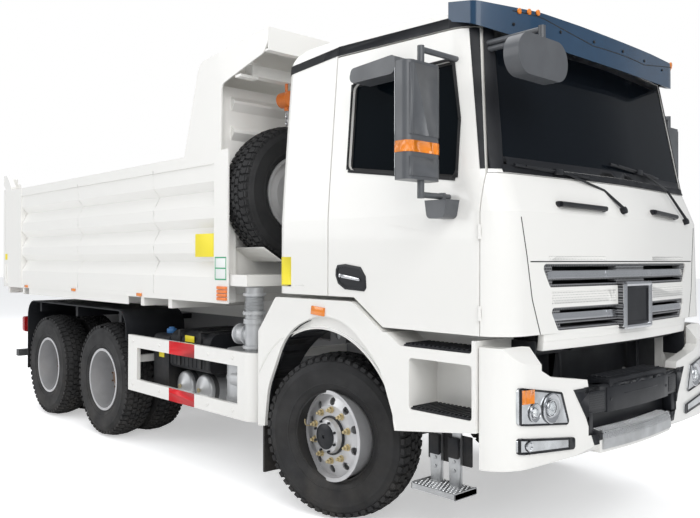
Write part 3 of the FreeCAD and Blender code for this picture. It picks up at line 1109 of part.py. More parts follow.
# Fenders over each pair of rear axles, on arms from the subframe
def make_tandem_fenders():
    rear = REAR_AXLE - S.tyre_radius - S.wing_gap / 2
    front = MIDDLE_AXLE + S.tyre_radius - S.wing_gap / 3
    wall = S.wing_wall
    strip = [(rear, S.wing_rear_low), (rear, S.wing_top, S.wing_radius), (front, S.wing_top, S.wing_radius),
             (front, S.wing_front_low), (front - wall, S.wing_front_low),
             (front - wall, S.wing_top - wall, S.wing_radius - wall), (rear + wall, S.wing_top - wall, S.wing_radius - wall),
             (rear + wall, S.wing_rear_low)]
    wing = prism("XZ", strip, S.wing_inner, S.wing_outer)
    arms = []
    for x in (rear + S.wing_radius + 60, (rear + front) / 2, front - S.wing_radius - 60):
        arms.append(block((x - 25, x + 25), (S.rail_spread / 2, S.wing_outer - 60),
                          (S.rail_top + S.subframe_height / 2, S.rail_top + S.subframe_height - 10)))
        arms.append(block((x - 25, x + 25), (S.wing_inner - 40, S.wing_outer - 60),
                          (S.rail_top + S.subframe_height - 15, S.wing_top - wall / 2)))
    return name("tandem_fenders", both(join([wing] + arms)))


# Underrun bar on stays from the rails' ends, and the lamp carriers beside them
def make_tail_bar():
    half = S.rail_spread / 2
    rear = behind(S.tail_bar_rear)
    bar = block((rear, rear + S.tail_bar_depth), (-S.half_width, S.half_width), (S.tail_bar_low, S.tail_bar_top))
    parts = [bar]
    lamps = []
    for side in (RIGHT, LEFT):
        limits = span(side, half - S.rail_flange, half)
        stay = [(rear + S.tail_bar_depth / 2, S.tail_bar_low), (rear + S.tail_bar_depth, S.tail_bar_low),
                (behind(S.rail_rear), S.rail_top - S.rail_height), (behind(S.rail_rear), S.rail_top),
                (behind(S.tail_post + 40), S.rail_top), (rear + S.tail_bar_depth / 2, S.tail_bar_top)]
        parts.append(prism("XZ", stay, *limits))
        middle = (S.tail_lamp_low + S.tail_lamp_top) / 2
        arm = span(side, half - 20, S.tail_lamp_outer - 40)
        parts.append(block((behind(S.tail_post + 30), behind(S.tail_post - 20)), arm, (middle - 30, middle + 30)))
        face = span(side, S.tail_lamp_inner, S.tail_lamp_outer)
        lamps.append(prism("YZ", rect(*face, S.tail_lamp_low, S.tail_lamp_top, 25),
                           behind(S.tail_post + 30 + 60), behind(S.tail_post + 30)))
    name("tail_bar", join(parts))
    name("rear_lamps", gather(lamps))


# The bed's pressed side: three V grooves in one folded sheet
def side_section():
    outer = S.bed_outer
    path = [(outer, S.bed_low)]
    for high in (S.groove_low, S.groove_mid, S.groove_high):
        path += [(outer, high - S.groove_fall - S.groove_rise), (outer - S.groove_depth, high - S.groove_fall),
                 (outer, high)]
    path.append((outer, S.bed_top))
    return path + [(y - S.bed_sheet, z) for y, z in reversed(path)]


def make_bed():
    outer, low, top = S.bed_outer, S.bed_low, S.bed_top
    rear, front = behind(S.bed_rear), behind(S.bed_front)
    post = behind(S.rear_post)
    tail = REAR_AXLE - S.rear_overhang
    hinge_x = behind(S.bed_rear + S.gate_hinge_back)
    parts, bores = [], []
    for side in (RIGHT, LEFT):
        section = [(side * y, z) for y, z in side_section()]
        parts.append(prism("YZ", section, post, front))
        parts.append(block((rear, post), span(side, outer - S.post_depth, outer + S.post_proud), (low, top)))
        parts.append(block((front, behind(S.pillar_leg)), span(side, S.pillar_inner, outer + S.post_proud), (low, S.bed_top)))
        parts.append(block((front, behind(S.pillar_front)), span(side, outer, outer + S.post_proud), (low, S.bed_top)))
        parts.append(block((post, front), span(side, outer - S.post_depth, outer + S.top_rail_proud), (top - S.top_rail_height, top)))
        parts.append(block((post, front), span(side, outer - S.post_depth, outer + S.top_rail_proud / 2), (low, low + 40)))
        parts.append(block((behind(S.skirt_rear), behind(S.skirt_front)), span(side, outer - 10, outer), (S.skirt_low, low + 5)))
        ear = [(rear + S.hinge_post_width, top - 5), (rear + S.hinge_post_width, top + 40),
               (rear + 40, S.hinge_post_top), (tail, S.hinge_post_top), (tail, S.gate_hinge_height - 50), (rear, top + 20),
               (rear, top - 5)]
        ear_y = span(side, outer + S.post_proud - S.hinge_post_wall, outer + S.post_proud)
        parts.append(prism("XZ", ear, *ear_y))
        bores.append(rod("Y", (hinge_x, S.gate_hinge_height), S.gate_hinge_radius + S.pin_play, ear_y[0] - 1, ear_y[1] + 1))
        web = (S.rail_spread / 2 - S.rail_flange, S.rail_spread / 2)
        deck = S.rail_top + S.subframe_height + S.flat_gap
        parts.append(block((behind(S.pivot_behind + S.bearer_tail), front), span(side, *web), (deck, low + 5)))
        lug_y = span(side, S.pivot_spread / 2 - 2 * S.ear_wall, S.pivot_spread / 2 - S.ear_wall)
        pivot = (behind(S.pivot_behind), S.pivot_height)
        lug = [(pivot[0] - 150, low + 5), (pivot[0] - 75, S.pivot_height), (pivot[0] + 75, S.pivot_height), (pivot[0] + 150, low + 5)]
        parts.append(prism("XZ", lug, *lug_y))
        parts.append(rod("Y", pivot, 75, *lug_y))
        bores.append(rod("Y", pivot, S.pivot_radius + S.pin_play, lug_y[0] - 1, lug_y[1] + 1))
        arm_y = span(side, S.hoist_ear_gap / 2, S.hoist_ear_gap / 2 + S.hoist_ear_wall)
        eye_x = behind(S.hoist_behind)
        arm = [(front - 5, S.hoist_eye - S.hoist_ear_height), (front - 5, S.hoist_eye + S.hoist_ear_height),
               (eye_x + 70, S.hoist_eye + 70, 40), (eye_x + 70, S.hoist_eye - 70, 40)]
        parts.append(prism("XZ", arm, *arm_y))
        bores.append(rod("Y", (eye_x, S.hoist_eye), S.hoist_pin_radius + 1, arm_y[0] - 1, arm_y[1] + 1))
    wide = outer - 5
    parts.append(block((rear, front), (-wide, wide), (low, low + S.floor_wall)))
    count = int(S.cross_bearer_count.number)
    pitch = (front - rear - 300) / count
    for k in range(count):
        x = rear + 60 + k * pitch
        parts.append(block((x, x + S.cross_bearer_width), (-wide, wide), (low - S.cross_bearer_height, low + 5)))
    parts.append(block((front - S.headboard_wall, front), (-wide, wide), (low, S.headboard_top)))
    for z in (S.bed_low + 120, S.bed_low + 560, S.bed_top + 160, S.headboard_top - 130):
        rib = [(front - 2, z - S.stiffener_height / 2), (front + S.stiffener_depth, z),
               (front + S.stiffener_depth, z + 20), (front - 2, z + S.stiffener_height / 2)]
        for limits in ((-S.pillar_inner - 5, -S.hoist_ear_gap), (S.hoist_ear_gap, S.pillar_inner + 5)):
            parts.append(prism("XZ", rib, *limits))
    return name("bed", cut(join(parts), bores))


# Canopy over the cab's back: side plates, wrapped sheet and front lip
def make_canopy():
    outer = S.bed_outer
    wall = S.canopy_wall
    plate = [(behind(S.canopy_rear), S.bed_top), (behind(S.canopy_throat + 5), S.bed_top),
             (behind(S.canopy_throat), S.canopy_throat_low, 60), (behind(S.canopy_notch), S.canopy_notch_low, 60),
             (behind(S.canopy_tip), S.canopy_tip_low + 70, 40), (behind(S.canopy_tip), S.canopy_tip_top),
             (behind(S.canopy_rear_top), S.canopy_top_rear, S.canopy_corner_radius)]
    strip = [(behind(S.canopy_rear), S.bed_top), (behind(S.canopy_rear_top), S.canopy_top_rear, S.canopy_corner_radius),
             (behind(S.canopy_tip), S.canopy_tip_top), (behind(S.canopy_tip), S.canopy_tip_top - wall),
             (behind(S.canopy_rear_top - wall), S.canopy_top_rear - wall, S.canopy_corner_radius - wall),
             (behind(S.canopy_rear - wall), S.bed_top)]
    lip = [(behind(S.canopy_tip), S.canopy_tip_low), (behind(S.canopy_tip), S.canopy_tip_top),
           (behind(S.canopy_tip + wall), S.canopy_tip_top), (behind(S.canopy_tip + wall), S.canopy_tip_low + wall),
           (behind(S.canopy_tip + S.lip_depth), S.canopy_tip_low + wall), (behind(S.canopy_tip + S.lip_depth), S.canopy_tip_low)]
    wide = outer - wall / 2
    parts = [prism("XZ", strip, -wide, wide), prism("XZ", lip, -wide, wide)]
    for limits in ((-outer, -(outer - wall)), (outer - wall, outer)):
        parts.append(prism("XZ", plate, *limits))
    board = block((behind(S.bed_front + S.headboard_wall) - S.flat_gap, behind(S.bed_front) + S.flat_gap),
                  (-outer + 5 - S.flat_gap, outer - 5 + S.flat_gap), (S.bed_top - 1, S.headboard_top + S.flat_gap))
    return name("canopy", cut(join(parts), [board]))


# Spare wheel, axle along the truck, and what holds it: cradle, boss, jib arm and the warm-air inlet box
def make_spare():
    back = behind(S.bed_front)
    middle = behind(S.spare_front) - S.tyre_width / 2
    turn = FreeCAD.Rotation(FreeCAD.Vector(0, 0, 1), 90)
    tyre = turned(tyre_section(size(0)))
    tyre.Placement.Rotation = turn
    name("spare_tyre", place(tyre, middle, -S.spare_side, S.spare_height))
    seat = S.bead_radius - S.flat_gap
    well = seat - S.rim_wall
    section = [(-S.front_disc_offset, S.hub_radius - 15), (-S.front_disc_offset, S.disc_cone_radius),
               (-S.front_disc_offset + S.disc_cone_depth, well)]
    section += barrel_edge(size(0), 1)[::-1]
    section += barrel_edge(size(0), -1)
    section += [(-S.front_disc_offset - S.disc_wall + S.disc_cone_depth, well),
                (-S.front_disc_offset - S.disc_wall, S.disc_cone_radius), (-S.front_disc_offset - S.disc_wall, S.hub_radius - 15)]
    rim = turned(section)
    rim.Placement.Rotation = turn
    name("spare_rim", place(rim, middle, -S.spare_side, S.spare_height))
    parts = []
    angle = math.radians(S.cradle_angle.number)
    reach = S.tyre_radius + S.flat_gap
    for side in (RIGHT, LEFT):
        along = (side * math.cos(angle), math.sin(angle))
        out = (side * math.sin(angle), -math.cos(angle))
        plate = []
        for run, depth in ((-0.5, 0), (0.5, 0), (0.5, 1), (-0.5, 1)):
            y = -S.spare_side + (reach + depth * S.cradle_wall) * out[0] + run * S.cradle_width * along[0]
            z = S.spare_height + (reach + depth * S.cradle_wall) * out[1] + run * S.cradle_width * along[1]
            plate.append((y, z))
        parts.append(prism("YZ", plate, back, behind(S.spare_front)))
    boss = rod("X", (-S.spare_side, S.spare_height), S.hub_radius - 40, back, middle + S.front_disc_offset + 20)
    parts.append(boss)
    x = behind(S.jib_ahead)
    side_plate = -(S.bed_outer - S.canopy_wall)
    jib = block((x - S.jib_height / 2, x + S.jib_height / 2), (-S.jib_side, -S.jib_side + S.jib_length),
                (S.jib_low, S.jib_low + S.jib_height))
    lugs = [block((x - 35, x + 35), (side_plate, -S.jib_side + 60), (S.jib_low - 18, S.jib_low + 2)),
            block((x - 35, x + 35), (side_plate, -S.jib_side + 60), (S.jib_low + S.jib_height - 2, S.jib_low + S.jib_height + 18))]
    parts.append(join([jib] + lugs))
    parts.append(block((behind(S.pillar_leg) + S.flat_gap, behind(S.inlet_front)), (-S.inlet_outer, -S.inlet_inner), (S.inlet_low, S.inlet_top)))
    name("bed_fittings", gather(parts))
    hoist_y = -S.jib_side + S.jib_length - 110
    drum = rod("X", (hoist_y, S.jib_low - 125), 62, x - 55, x + 55)
    hook = rod("Z", (x, hoist_y), 12, S.jib_low - 80, S.jib_low - S.flat_gap)
    name("chain_hoist", join([drum, hook]))


# Tailgate hung from pins above the bed's rear posts
def make_tailgate():
    rear = behind(S.bed_rear + S.shut_gap)
    outer = S.bed_outer + S.post_proud
    hinge_x = behind(S.bed_rear + S.gate_hinge_back)
    body = new_body("Gate")
    neck = outer - S.hinge_post_wall - 8
    shoulder = S.bed_top + 15
    face = [(-outer, S.bed_low), (outer, S.bed_low), (outer, shoulder), (neck, shoulder), (neck, S.gate_top),
            (-neck, S.gate_top), (-neck, shoulder), (-outer, shoulder)]
    pad(body, "YZ", face, rear - S.gate_wall, rear)
    count = 4
    pitch = (S.gate_top - S.bed_low - 160) / count
    for k in range(count):
        low = S.bed_low + 100 + k * pitch
        groove = [(rear - S.gate_wall - 1, low), (rear - S.gate_wall - 1, low + pitch - 90), (rear - S.gate_wall + 30, low + pitch - 120),
                  (rear - S.gate_wall + 30, low + 30)]
        pocket(body, "XZ", groove, -(outer - 120), outer - 120)
    parts = [body]
    for side in (RIGHT, LEFT):
        near = neck - 82
        limits = span(side, near, neck)
        arm = [(rear - S.gate_wall, S.gate_top - 5), (rear - 8, S.gate_top - 5), (rear - 2, S.gate_hinge_height + 40, 15),
               (rear - S.gate_wall, S.gate_hinge_height + 40, 15)]
        parts.append(prism("XZ", arm, *limits))
        parts.append(rod("Y", (hinge_x, S.gate_hinge_height), S.gate_hinge_radius, *span(side, near + 5, outer - 2)))
    return name("tailgate", join(parts))


# Telescopic hoist: barrel on trunnions, two tubes and the rod with its eye
def make_hoist():
    x = behind(S.hoist_behind)
    low = S.hoist_low
    top = S.hoist_eye - S.hoist_eye_radius - 4 * S.hoist_lip
    radius = S.hoist_barrel_radius
    for k, label in enumerate(("hoist_barrel", "hoist_stage_1", "hoist_stage_2")):
        outer = radius - k * S.hoist_step
        bore = outer - S.hoist_step + S.pin_play
        foot = low + k * S.hoist_lip
        head = top + k * S.hoist_head
        section = [(0, foot), (outer, foot), (outer, head), (bore, head),
                   (bore, foot + S.hoist_lip - S.flat_gap), (0, foot + S.hoist_lip - S.flat_gap)]
        tube = place(upright(section), x, 0, 0)
        if k == 0:
            half = S.rail_spread / 2 - 10
            pins = [rod("Y", (x, S.hoist_foot), S.hoist_pin_radius, radius - 8, half),
                    rod("Y", (x, S.hoist_foot), S.hoist_pin_radius, -half, -radius + 8)]
            tube = join([tube] + pins)
        name(label, tube)
    outer = radius - 3 * S.hoist_step
    shank = rod("Z", (x, 0), outer, low + 3 * S.hoist_lip, S.hoist_eye)
    eye = rod("Y", (x, S.hoist_eye), S.hoist_eye_radius, -S.hoist_eye_width / 2, S.hoist_eye_width / 2)
    pin = rod("Y", (x, S.hoist_eye), S.hoist_pin_radius, -S.hoist_ear_gap / 2 + 6, S.hoist_ear_gap / 2 - 6)
    name("hoist_rod", join([shank, eye, pin]))


# Mirrors: a tall housing on two arms per door, a kerb mirror over the right window, and the front mirror
def make_mirrors():
    front, rear = ahead(S.mirror_front), ahead(S.mirror_front - S.mirror_depth)
    near, far = S.mirror_side - S.mirror_width, S.mirror_side
    housing = prism("XY", [(rear, -far, 30), (front, -far, 45), (front, -near, 45), (rear, -near, 30)],
                    S.mirror_low, S.mirror_top)
    radius = S.mirror_arm_radius
    x = ahead(S.mirror_front - 2 * radius)
    y = -(near + far) / 2
    skin = -(S.half_width_top - S.cab_wall / 2)
    high, low = S.mirror_top + S.mirror_rise, S.mirror_low - S.mirror_rise
    post = S.mirror_post_radius
    arms = [rod("Y", (x, high), radius, y, skin), rod("Z", (x, y), post, S.mirror_top - 5, high + post),
            rod("Y", (x, low), radius, y, skin), rod("Z", (x, y), post, low - post, S.mirror_low + 5)]
    base = -S.half_width
    bowl = [(x - 60, low - 120, 30), (x + 60, low - 120, 30), (x + 75, low - 20), (x - 75, low - 20)]
    foot = [prism("XZ", bowl, base - 110, base + 40), rod("Z", (x, base - 50), post, low - 25, low + post)]
    kerb_top = S.window_top + 65
    kerb = prism("XZ", [(ahead(S.kerb_rear), kerb_top - 110, 40), (ahead(S.kerb_front), kerb_top - 110, 40),
                        (ahead(S.kerb_front), kerb_top, 30), (ahead(S.kerb_rear + 30), kerb_top - 20, 30)],
                 skin - 230, skin - 90)
    kerb_arm = rod("Y", (ahead(S.kerb_front - 80), kerb_top - 25), radius, skin - 100, skin)
    joined = join([housing] + arms + foot)
    arm = cut(joined, [cab_form(-S.flat_gap)])
    name("mirrors_left", cut(mirrored(joined), [cab_form(-S.flat_gap)]))
    name("mirrors_right", gather([arm, cut(join([kerb, kerb_arm]), [cab_form(-S.flat_gap)])]))


# Front mirror: an oval housing on a post, held to the right pillar by two tubes
def make_front_mirror():
    nose = ahead(S.front_overhang)
    middle, height = -S.front_mirror_side, S.front_mirror_height
    half, rise = S.front_mirror_half, S.front_mirror_rise
    housing = prism("YZ", rect(middle - half, middle + half, height - rise, height + rise, rise - 4),
                    nose - S.front_mirror_depth, nose)
    x = nose - S.front_mirror_depth / 2
    root = ahead(S.cab_front_top - 2 * S.cab_wall)
    y, high = middle + 2 * half / 9, height + rise + 60
    arms = [rod("X", (y, z), S.mirror_arm_radius, root, x) for z in (high, high - 35)]
    arms.append(rod("Z", (x, y), S.mirror_post_radius, height, high + S.mirror_post_radius))
    name("front_mirror", cut(join([housing] + arms), [cab_form(-S.flat_gap)]))


doc.recompute()
make_frame()
make_front_wheels()
make_rear_wheels()
make_front_axle()
make_rear_axles()
make_suspension()
make_powertrain()
make_cab()
make_bumper()
make_fenders()
make_steps()
make_cab_interior()
make_side_guards()
make_side_boxes()
make_air_tanks()
make_exhaust()
make_tandem_fenders()
make_tail_bar()
make_bed()
make_canopy()
make_spare()
make_tailgate()
make_hoist()
make_mirrors()
make_front_mirror()
doc.recompute()

# Nothing is written unless every feature and every sub-part is sound
for thing in doc.Objects:
    if "Invalid" in thing.State or "Error" in thing.State:
        raise RuntimeError("%s (%s) failed: %s" % (thing.Label, thing.TypeId, thing.State))
for label, thing in subparts.items():
    if thing.Shape.isNull() or not thing.Shape.isValid() or not thing.Shape.Solids:
        raise RuntimeError("%s has no sound shape" % label)
os.makedirs("parts", exist_ok=True)
for label, thing in subparts.items():
    thing.Shape.exportStep("parts/%s.step" % label)
print(len(subparts), "sub-parts written")
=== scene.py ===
"""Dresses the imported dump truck: tyres with tread, lamps, trim, fittings, finishes and a studio stage."""
import sys
import json
import math

import bmesh
import bpy
from mathutils import Matrix, Vector
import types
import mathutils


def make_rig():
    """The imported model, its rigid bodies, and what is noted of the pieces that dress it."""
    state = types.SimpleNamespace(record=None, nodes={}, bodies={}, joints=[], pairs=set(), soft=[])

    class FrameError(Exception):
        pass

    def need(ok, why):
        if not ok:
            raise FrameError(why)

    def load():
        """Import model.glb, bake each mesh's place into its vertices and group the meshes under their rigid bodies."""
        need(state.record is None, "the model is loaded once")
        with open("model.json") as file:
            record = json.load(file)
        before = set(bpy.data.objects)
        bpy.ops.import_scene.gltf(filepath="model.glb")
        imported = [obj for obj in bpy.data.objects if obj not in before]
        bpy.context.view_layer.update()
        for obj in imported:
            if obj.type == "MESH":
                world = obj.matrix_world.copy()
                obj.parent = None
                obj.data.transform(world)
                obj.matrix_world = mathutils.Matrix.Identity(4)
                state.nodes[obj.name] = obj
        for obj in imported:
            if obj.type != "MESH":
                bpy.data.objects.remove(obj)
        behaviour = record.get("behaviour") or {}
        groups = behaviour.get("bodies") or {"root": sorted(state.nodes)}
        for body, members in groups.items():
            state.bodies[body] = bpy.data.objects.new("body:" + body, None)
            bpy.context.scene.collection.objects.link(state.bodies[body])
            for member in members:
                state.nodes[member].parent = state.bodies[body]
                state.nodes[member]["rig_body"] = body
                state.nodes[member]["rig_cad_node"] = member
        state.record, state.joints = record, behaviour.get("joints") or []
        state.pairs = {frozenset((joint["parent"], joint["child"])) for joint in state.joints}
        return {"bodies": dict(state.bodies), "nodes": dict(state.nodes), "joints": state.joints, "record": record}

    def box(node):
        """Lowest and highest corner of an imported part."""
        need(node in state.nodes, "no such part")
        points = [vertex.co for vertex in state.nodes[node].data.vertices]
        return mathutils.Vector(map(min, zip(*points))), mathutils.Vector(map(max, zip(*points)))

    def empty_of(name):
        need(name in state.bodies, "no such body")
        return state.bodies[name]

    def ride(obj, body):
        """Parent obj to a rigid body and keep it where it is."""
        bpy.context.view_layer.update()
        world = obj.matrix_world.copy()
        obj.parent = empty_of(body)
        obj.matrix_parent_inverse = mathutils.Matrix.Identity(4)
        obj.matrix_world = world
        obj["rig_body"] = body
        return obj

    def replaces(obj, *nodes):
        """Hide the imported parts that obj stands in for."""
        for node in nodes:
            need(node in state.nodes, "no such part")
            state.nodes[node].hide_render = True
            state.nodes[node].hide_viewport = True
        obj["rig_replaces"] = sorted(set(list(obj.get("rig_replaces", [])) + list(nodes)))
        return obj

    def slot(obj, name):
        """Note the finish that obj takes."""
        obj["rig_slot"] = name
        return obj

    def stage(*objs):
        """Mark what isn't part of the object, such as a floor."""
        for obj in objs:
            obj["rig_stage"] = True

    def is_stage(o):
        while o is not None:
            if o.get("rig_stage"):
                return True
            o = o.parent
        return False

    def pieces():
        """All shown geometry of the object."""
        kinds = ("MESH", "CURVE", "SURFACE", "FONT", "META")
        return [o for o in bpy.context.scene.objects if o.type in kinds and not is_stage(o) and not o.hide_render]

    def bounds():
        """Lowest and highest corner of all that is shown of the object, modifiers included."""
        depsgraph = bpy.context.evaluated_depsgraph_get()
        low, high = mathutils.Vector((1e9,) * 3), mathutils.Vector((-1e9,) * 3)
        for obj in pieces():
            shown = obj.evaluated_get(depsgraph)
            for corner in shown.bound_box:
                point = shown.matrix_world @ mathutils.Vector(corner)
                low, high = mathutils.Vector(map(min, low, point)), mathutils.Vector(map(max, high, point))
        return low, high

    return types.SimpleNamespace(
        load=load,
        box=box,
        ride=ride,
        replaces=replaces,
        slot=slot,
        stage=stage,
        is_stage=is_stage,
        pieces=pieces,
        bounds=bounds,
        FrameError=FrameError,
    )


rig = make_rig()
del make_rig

bl_info = {
    "name": "Dump truck dressing",
    "version": (1, 0, 0),
    "blender": (4, 5, 0),
    "location": "View3D > Sidebar > Truck",
    "description": "Builds the visible detail and finishes of a three-axle dump truck around its CAD frame",
    "category": "Object",
}

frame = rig.load()
CAD_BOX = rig.bounds()
NODES = frame["nodes"]
SIDES = (("right", -1), ("left", 1))
UP = Vector((0, 0, 1))
# Metres: axles along x, tyre centres across y, the tyres' radius and centre height, an x ahead of the truck
AXLE = 2.185
REAR_ROWS = (("middle", -1.015), ("rear", -2.365))
FRONT_TRACK = 1.027
TWINS = (0.755, 1.105)
CROWN = 0.542
AHEAD = 4.4
# The photograph's camera: its place in metres, then turn, tilt and roll in degrees
CAMERA_PLACE = (5.907, -4.465, 1.703)
CAMERA_ANGLES = (47.97, -0.67, 0.08)


def ahead(distance):
    """The x of a place given in millimetres ahead of the front axle, in metres."""
    return AXLE + distance / 1000


# Sizes and colours a user would change
class TruckSizes(bpy.types.PropertyGroup):
    """Sizes of the dressing's repeated details."""

    tread_pitches: bpy.props.IntProperty(name="Tread pitches", description="Tread blocks round a tyre",
                                         default=54, min=24, max=90)
    tread_depth: bpy.props.FloatProperty(name="Tread depth", description="Depth of the grooves",
                                         default=0.012, min=0.004, max=0.02, unit="LENGTH")
    nut_radius: bpy.props.FloatProperty(name="Nut radius", description="Wheel nut's radius across corners",
                                        default=0.019, min=0.01, max=0.03, unit="LENGTH")
    stud_circle: bpy.props.FloatProperty(name="Stud circle",
                                         description="Radius of the circle of wheel studs", default=0.1675,
                                         min=0.1, max=0.25, unit="LENGTH")
    link_radius: bpy.props.FloatProperty(name="Chain wire", description="Radius of the chain's wire",
                                         default=0.004, min=0.002, max=0.01, unit="LENGTH")
    seam: bpy.props.FloatProperty(name="Seam", description="Width of the dark line in a panel seam",
                                  default=0.006, min=0.002, max=0.02, unit="LENGTH")
    lens: bpy.props.FloatProperty(name="Lens", description="Camera's focal length in millimetres",
                                  default=38.78, min=20, max=100)


def colour(name, default, words):
    return bpy.props.FloatVectorProperty(name=name, description=words, default=default, size=3, min=0,
                                         max=1, subtype="COLOR")


class TruckColours(bpy.types.PropertyGroup):
    """Colours of the truck's finishes."""

    white: colour("White paint", (0.80, 0.79, 0.76), "Cab, bed and bumper paint")
    visor: colour("Visor", (0.015, 0.048, 0.098), "Tinted sun visor")
    black: colour("Black plastic", (0.013, 0.014, 0.017), "Moulded trim")
    chassis: colour("Chassis paint", (0.055, 0.060, 0.066), "Frame rails and brackets")
    silver: colour("Silver", (0.56, 0.57, 0.58), "Rims, tanks and muffler")
    rubber: colour("Rubber", (0.014, 0.014, 0.015), "Tyres, seals and hoses")
    orange: colour("Orange", (0.78, 0.20, 0.03), "Chain hoist")
    red: colour("Red band", (0.66, 0.012, 0.018), "Bands on the side guards")
    yellow: colour("Yellow label", (0.86, 0.72, 0.02), "Blank labels")
    amber: colour("Amber lens", (0.85, 0.24, 0.01), "Side lamps and indicators")


# Selecting and shaping as by hand
def only(thing):
    bpy.ops.object.select_all(action="DESELECT")
    thing.select_set(True)
    bpy.context.view_layer.objects.active = thing


def edit(thing):
    only(thing)
    bpy.ops.object.mode_set(mode="EDIT")
    bpy.ops.mesh.select_all(action="DESELECT")


def leave():
    bpy.ops.object.mode_set(mode="OBJECT")


def choose(thing, kind, test):
    """In edit mode, select the vertices, edges or faces that pass a test."""
    bpy.ops.mesh.select_mode(type={"verts": "VERT", "edges": "EDGE", "faces": "FACE"}[kind])
    bpy.ops.mesh.select_all(action="DESELECT")
    mesh = bmesh.from_edit_mesh(thing.data)
    count = 0
    for part in getattr(mesh, kind):
        if test(part):
            part.select_set(True)
            count += 1
    mesh.select_flush_mode()
    bmesh.update_edit_mesh(thing.data)
    return count


def called(name):
    thing = bpy.context.object
    thing.name = name
    thing.data.name = name
    bpy.ops.object.transform_apply(location=True, rotation=True, scale=True)
    return thing


def modify(thing, kind, **values):
    only(thing)
    modifier = thing.modifiers.new(kind.title(), kind)
    for key, value in values.items():
        setattr(modifier, key, value)
    bpy.ops.object.modifier_apply(modifier=modifier.name)
    return thing


def rounded(thing, edge, segments=2, angle=0.6):
    """Bevel every edge sharper than the angle."""
    if edge:
        modify(thing, "BEVEL", width=edge, segments=segments, limit_method="ANGLE", angle_limit=angle)
    return thing


def box(name, low, high, edge=0.0, segments=2):
    """A block between two corners given in either order, its edges rounded."""
    low, high = (Vector(pick(pair) for pair in zip(low, high)) for pick in (min, max))
    bpy.ops.object.select_all(action="DESELECT")
    bpy.ops.mesh.primitive_cube_add(size=1, location=(low + high) / 2, scale=high - low)
    return rounded(called(name), edge, segments)


def bar(name, start, end, radius, sides=16, edge=0.0, top=None):
    """A round bar, or a cone where top gives its other radius."""
    start, end = Vector(start), Vector(end)
    bpy.ops.object.select_all(action="DESELECT")
    bpy.ops.mesh.primitive_cone_add(vertices=sides, radius1=radius, radius2=radius if top is None else top,
                                    depth=(end - start).length, location=(start + end) / 2,
                                    rotation=(end - start).to_track_quat("Z", "Y").to_euler())
    return rounded(called(name), edge)


AXES = {"XY": (0, 1, 2), "XZ": (0, 2, 1), "YZ": (1, 2, 0)}


def plate(name, plane, corners, low, high, edge=0.0, segments=2):
    """A flat outline pushed along its normal between two places."""
    low, high = sorted((low, high))
    first, second, through = AXES[plane]
    bpy.ops.object.select_all(action="DESELECT")
    bpy.ops.mesh.primitive_circle_add(vertices=len(corners), radius=1, fill_type="NGON")
    thing = bpy.context.object
    edit(thing)
    for index, corner in enumerate(corners):
        choose(thing, "verts", lambda part, at=index: part.index == at)
        spot = Vector((0, 0, 0))
        spot[first], spot[second], spot[through] = corner[0], corner[1], low
        old = bmesh.from_edit_mesh(thing.data).verts
        old.ensure_lookup_table()
        bpy.ops.transform.translate(value=spot - old[index].co)
    bpy.ops.mesh.select_all(action="SELECT")
    push = Vector((0, 0, 0))
    push[through] = high - low
    bpy.ops.mesh.extrude_region_move(TRANSFORM_OT_translate={"value": push})
    bpy.ops.mesh.select_all(action="SELECT")
    bpy.ops.mesh.normals_make_consistent(inside=False)
    leave()
    return rounded(called(name), edge, segments)


def ring(name, section, centre, axis="Y", steps=48):
    """A closed section of (along, radius) points turned about an axis through centre."""
    bpy.ops.object.select_all(action="DESELECT")
    bpy.ops.mesh.primitive_circle_add(vertices=len(section), radius=1, fill_type="NOTHING")
    thing = bpy.context.object
    edit(thing)
    for index, (along, radius) in enumerate(section):
        choose(thing, "verts", lambda part, at=index: part.index == at)
        old = bmesh.from_edit_mesh(thing.data).verts
        old.ensure_lookup_table()
        bpy.ops.transform.translate(value=Vector((0, along, radius)) - old[index].co)
    bpy.ops.mesh.select_all(action="SELECT")
    bpy.ops.mesh.spin(steps=steps, angle=math.tau, center=(0, 0, 0), axis=(0, 1, 0))
    bpy.ops.mesh.select_all(action="SELECT")
    bpy.ops.mesh.remove_doubles(threshold=0.00005)
    bpy.ops.mesh.normals_make_consistent(inside=False)
    leave()
    thing.rotation_euler = {"Y": (0, 0, 0), "X": (0, 0, -math.pi / 2), "Z": (math.pi / 2, 0, 0)}[axis]
    thing.location = centre
    return called(name)


def pipe(name, points, radius, sides=10, smooth=True):
    """A tube along a line of points."""
    bpy.ops.object.select_all(action="DESELECT")
    bpy.ops.curve.primitive_nurbs_path_add()
    thing = bpy.context.object
    line = thing.data
    line.splines.clear()
    spline = line.splines.new("NURBS" if smooth else "POLY")
    spline.points.add(len(points) - 1)
    for point, place in zip(spline.points, points):
        point.co = (*place, 1)
    if smooth:
        spline.order_u = 3
        spline.use_endpoint_u = True
        spline.resolution_u = 6
    line.dimensions = "3D"
    line.bevel_depth = radius
    line.bevel_resolution = max(1, sides // 4)
    line.use_fill_caps = True
    bpy.ops.object.convert(target="MESH")
    return called(name)


def weld(name, parts):
    """Several pieces of one finish made one object."""
    bpy.ops.object.select_all(action="DESELECT")
    for part in parts:
        part.select_set(True)
    bpy.context.view_layer.objects.active = parts[0]
    if len(parts) > 1:
        bpy.ops.object.join()
    thing = bpy.context.object
    thing.name = name
    thing.data.name = name
    return thing


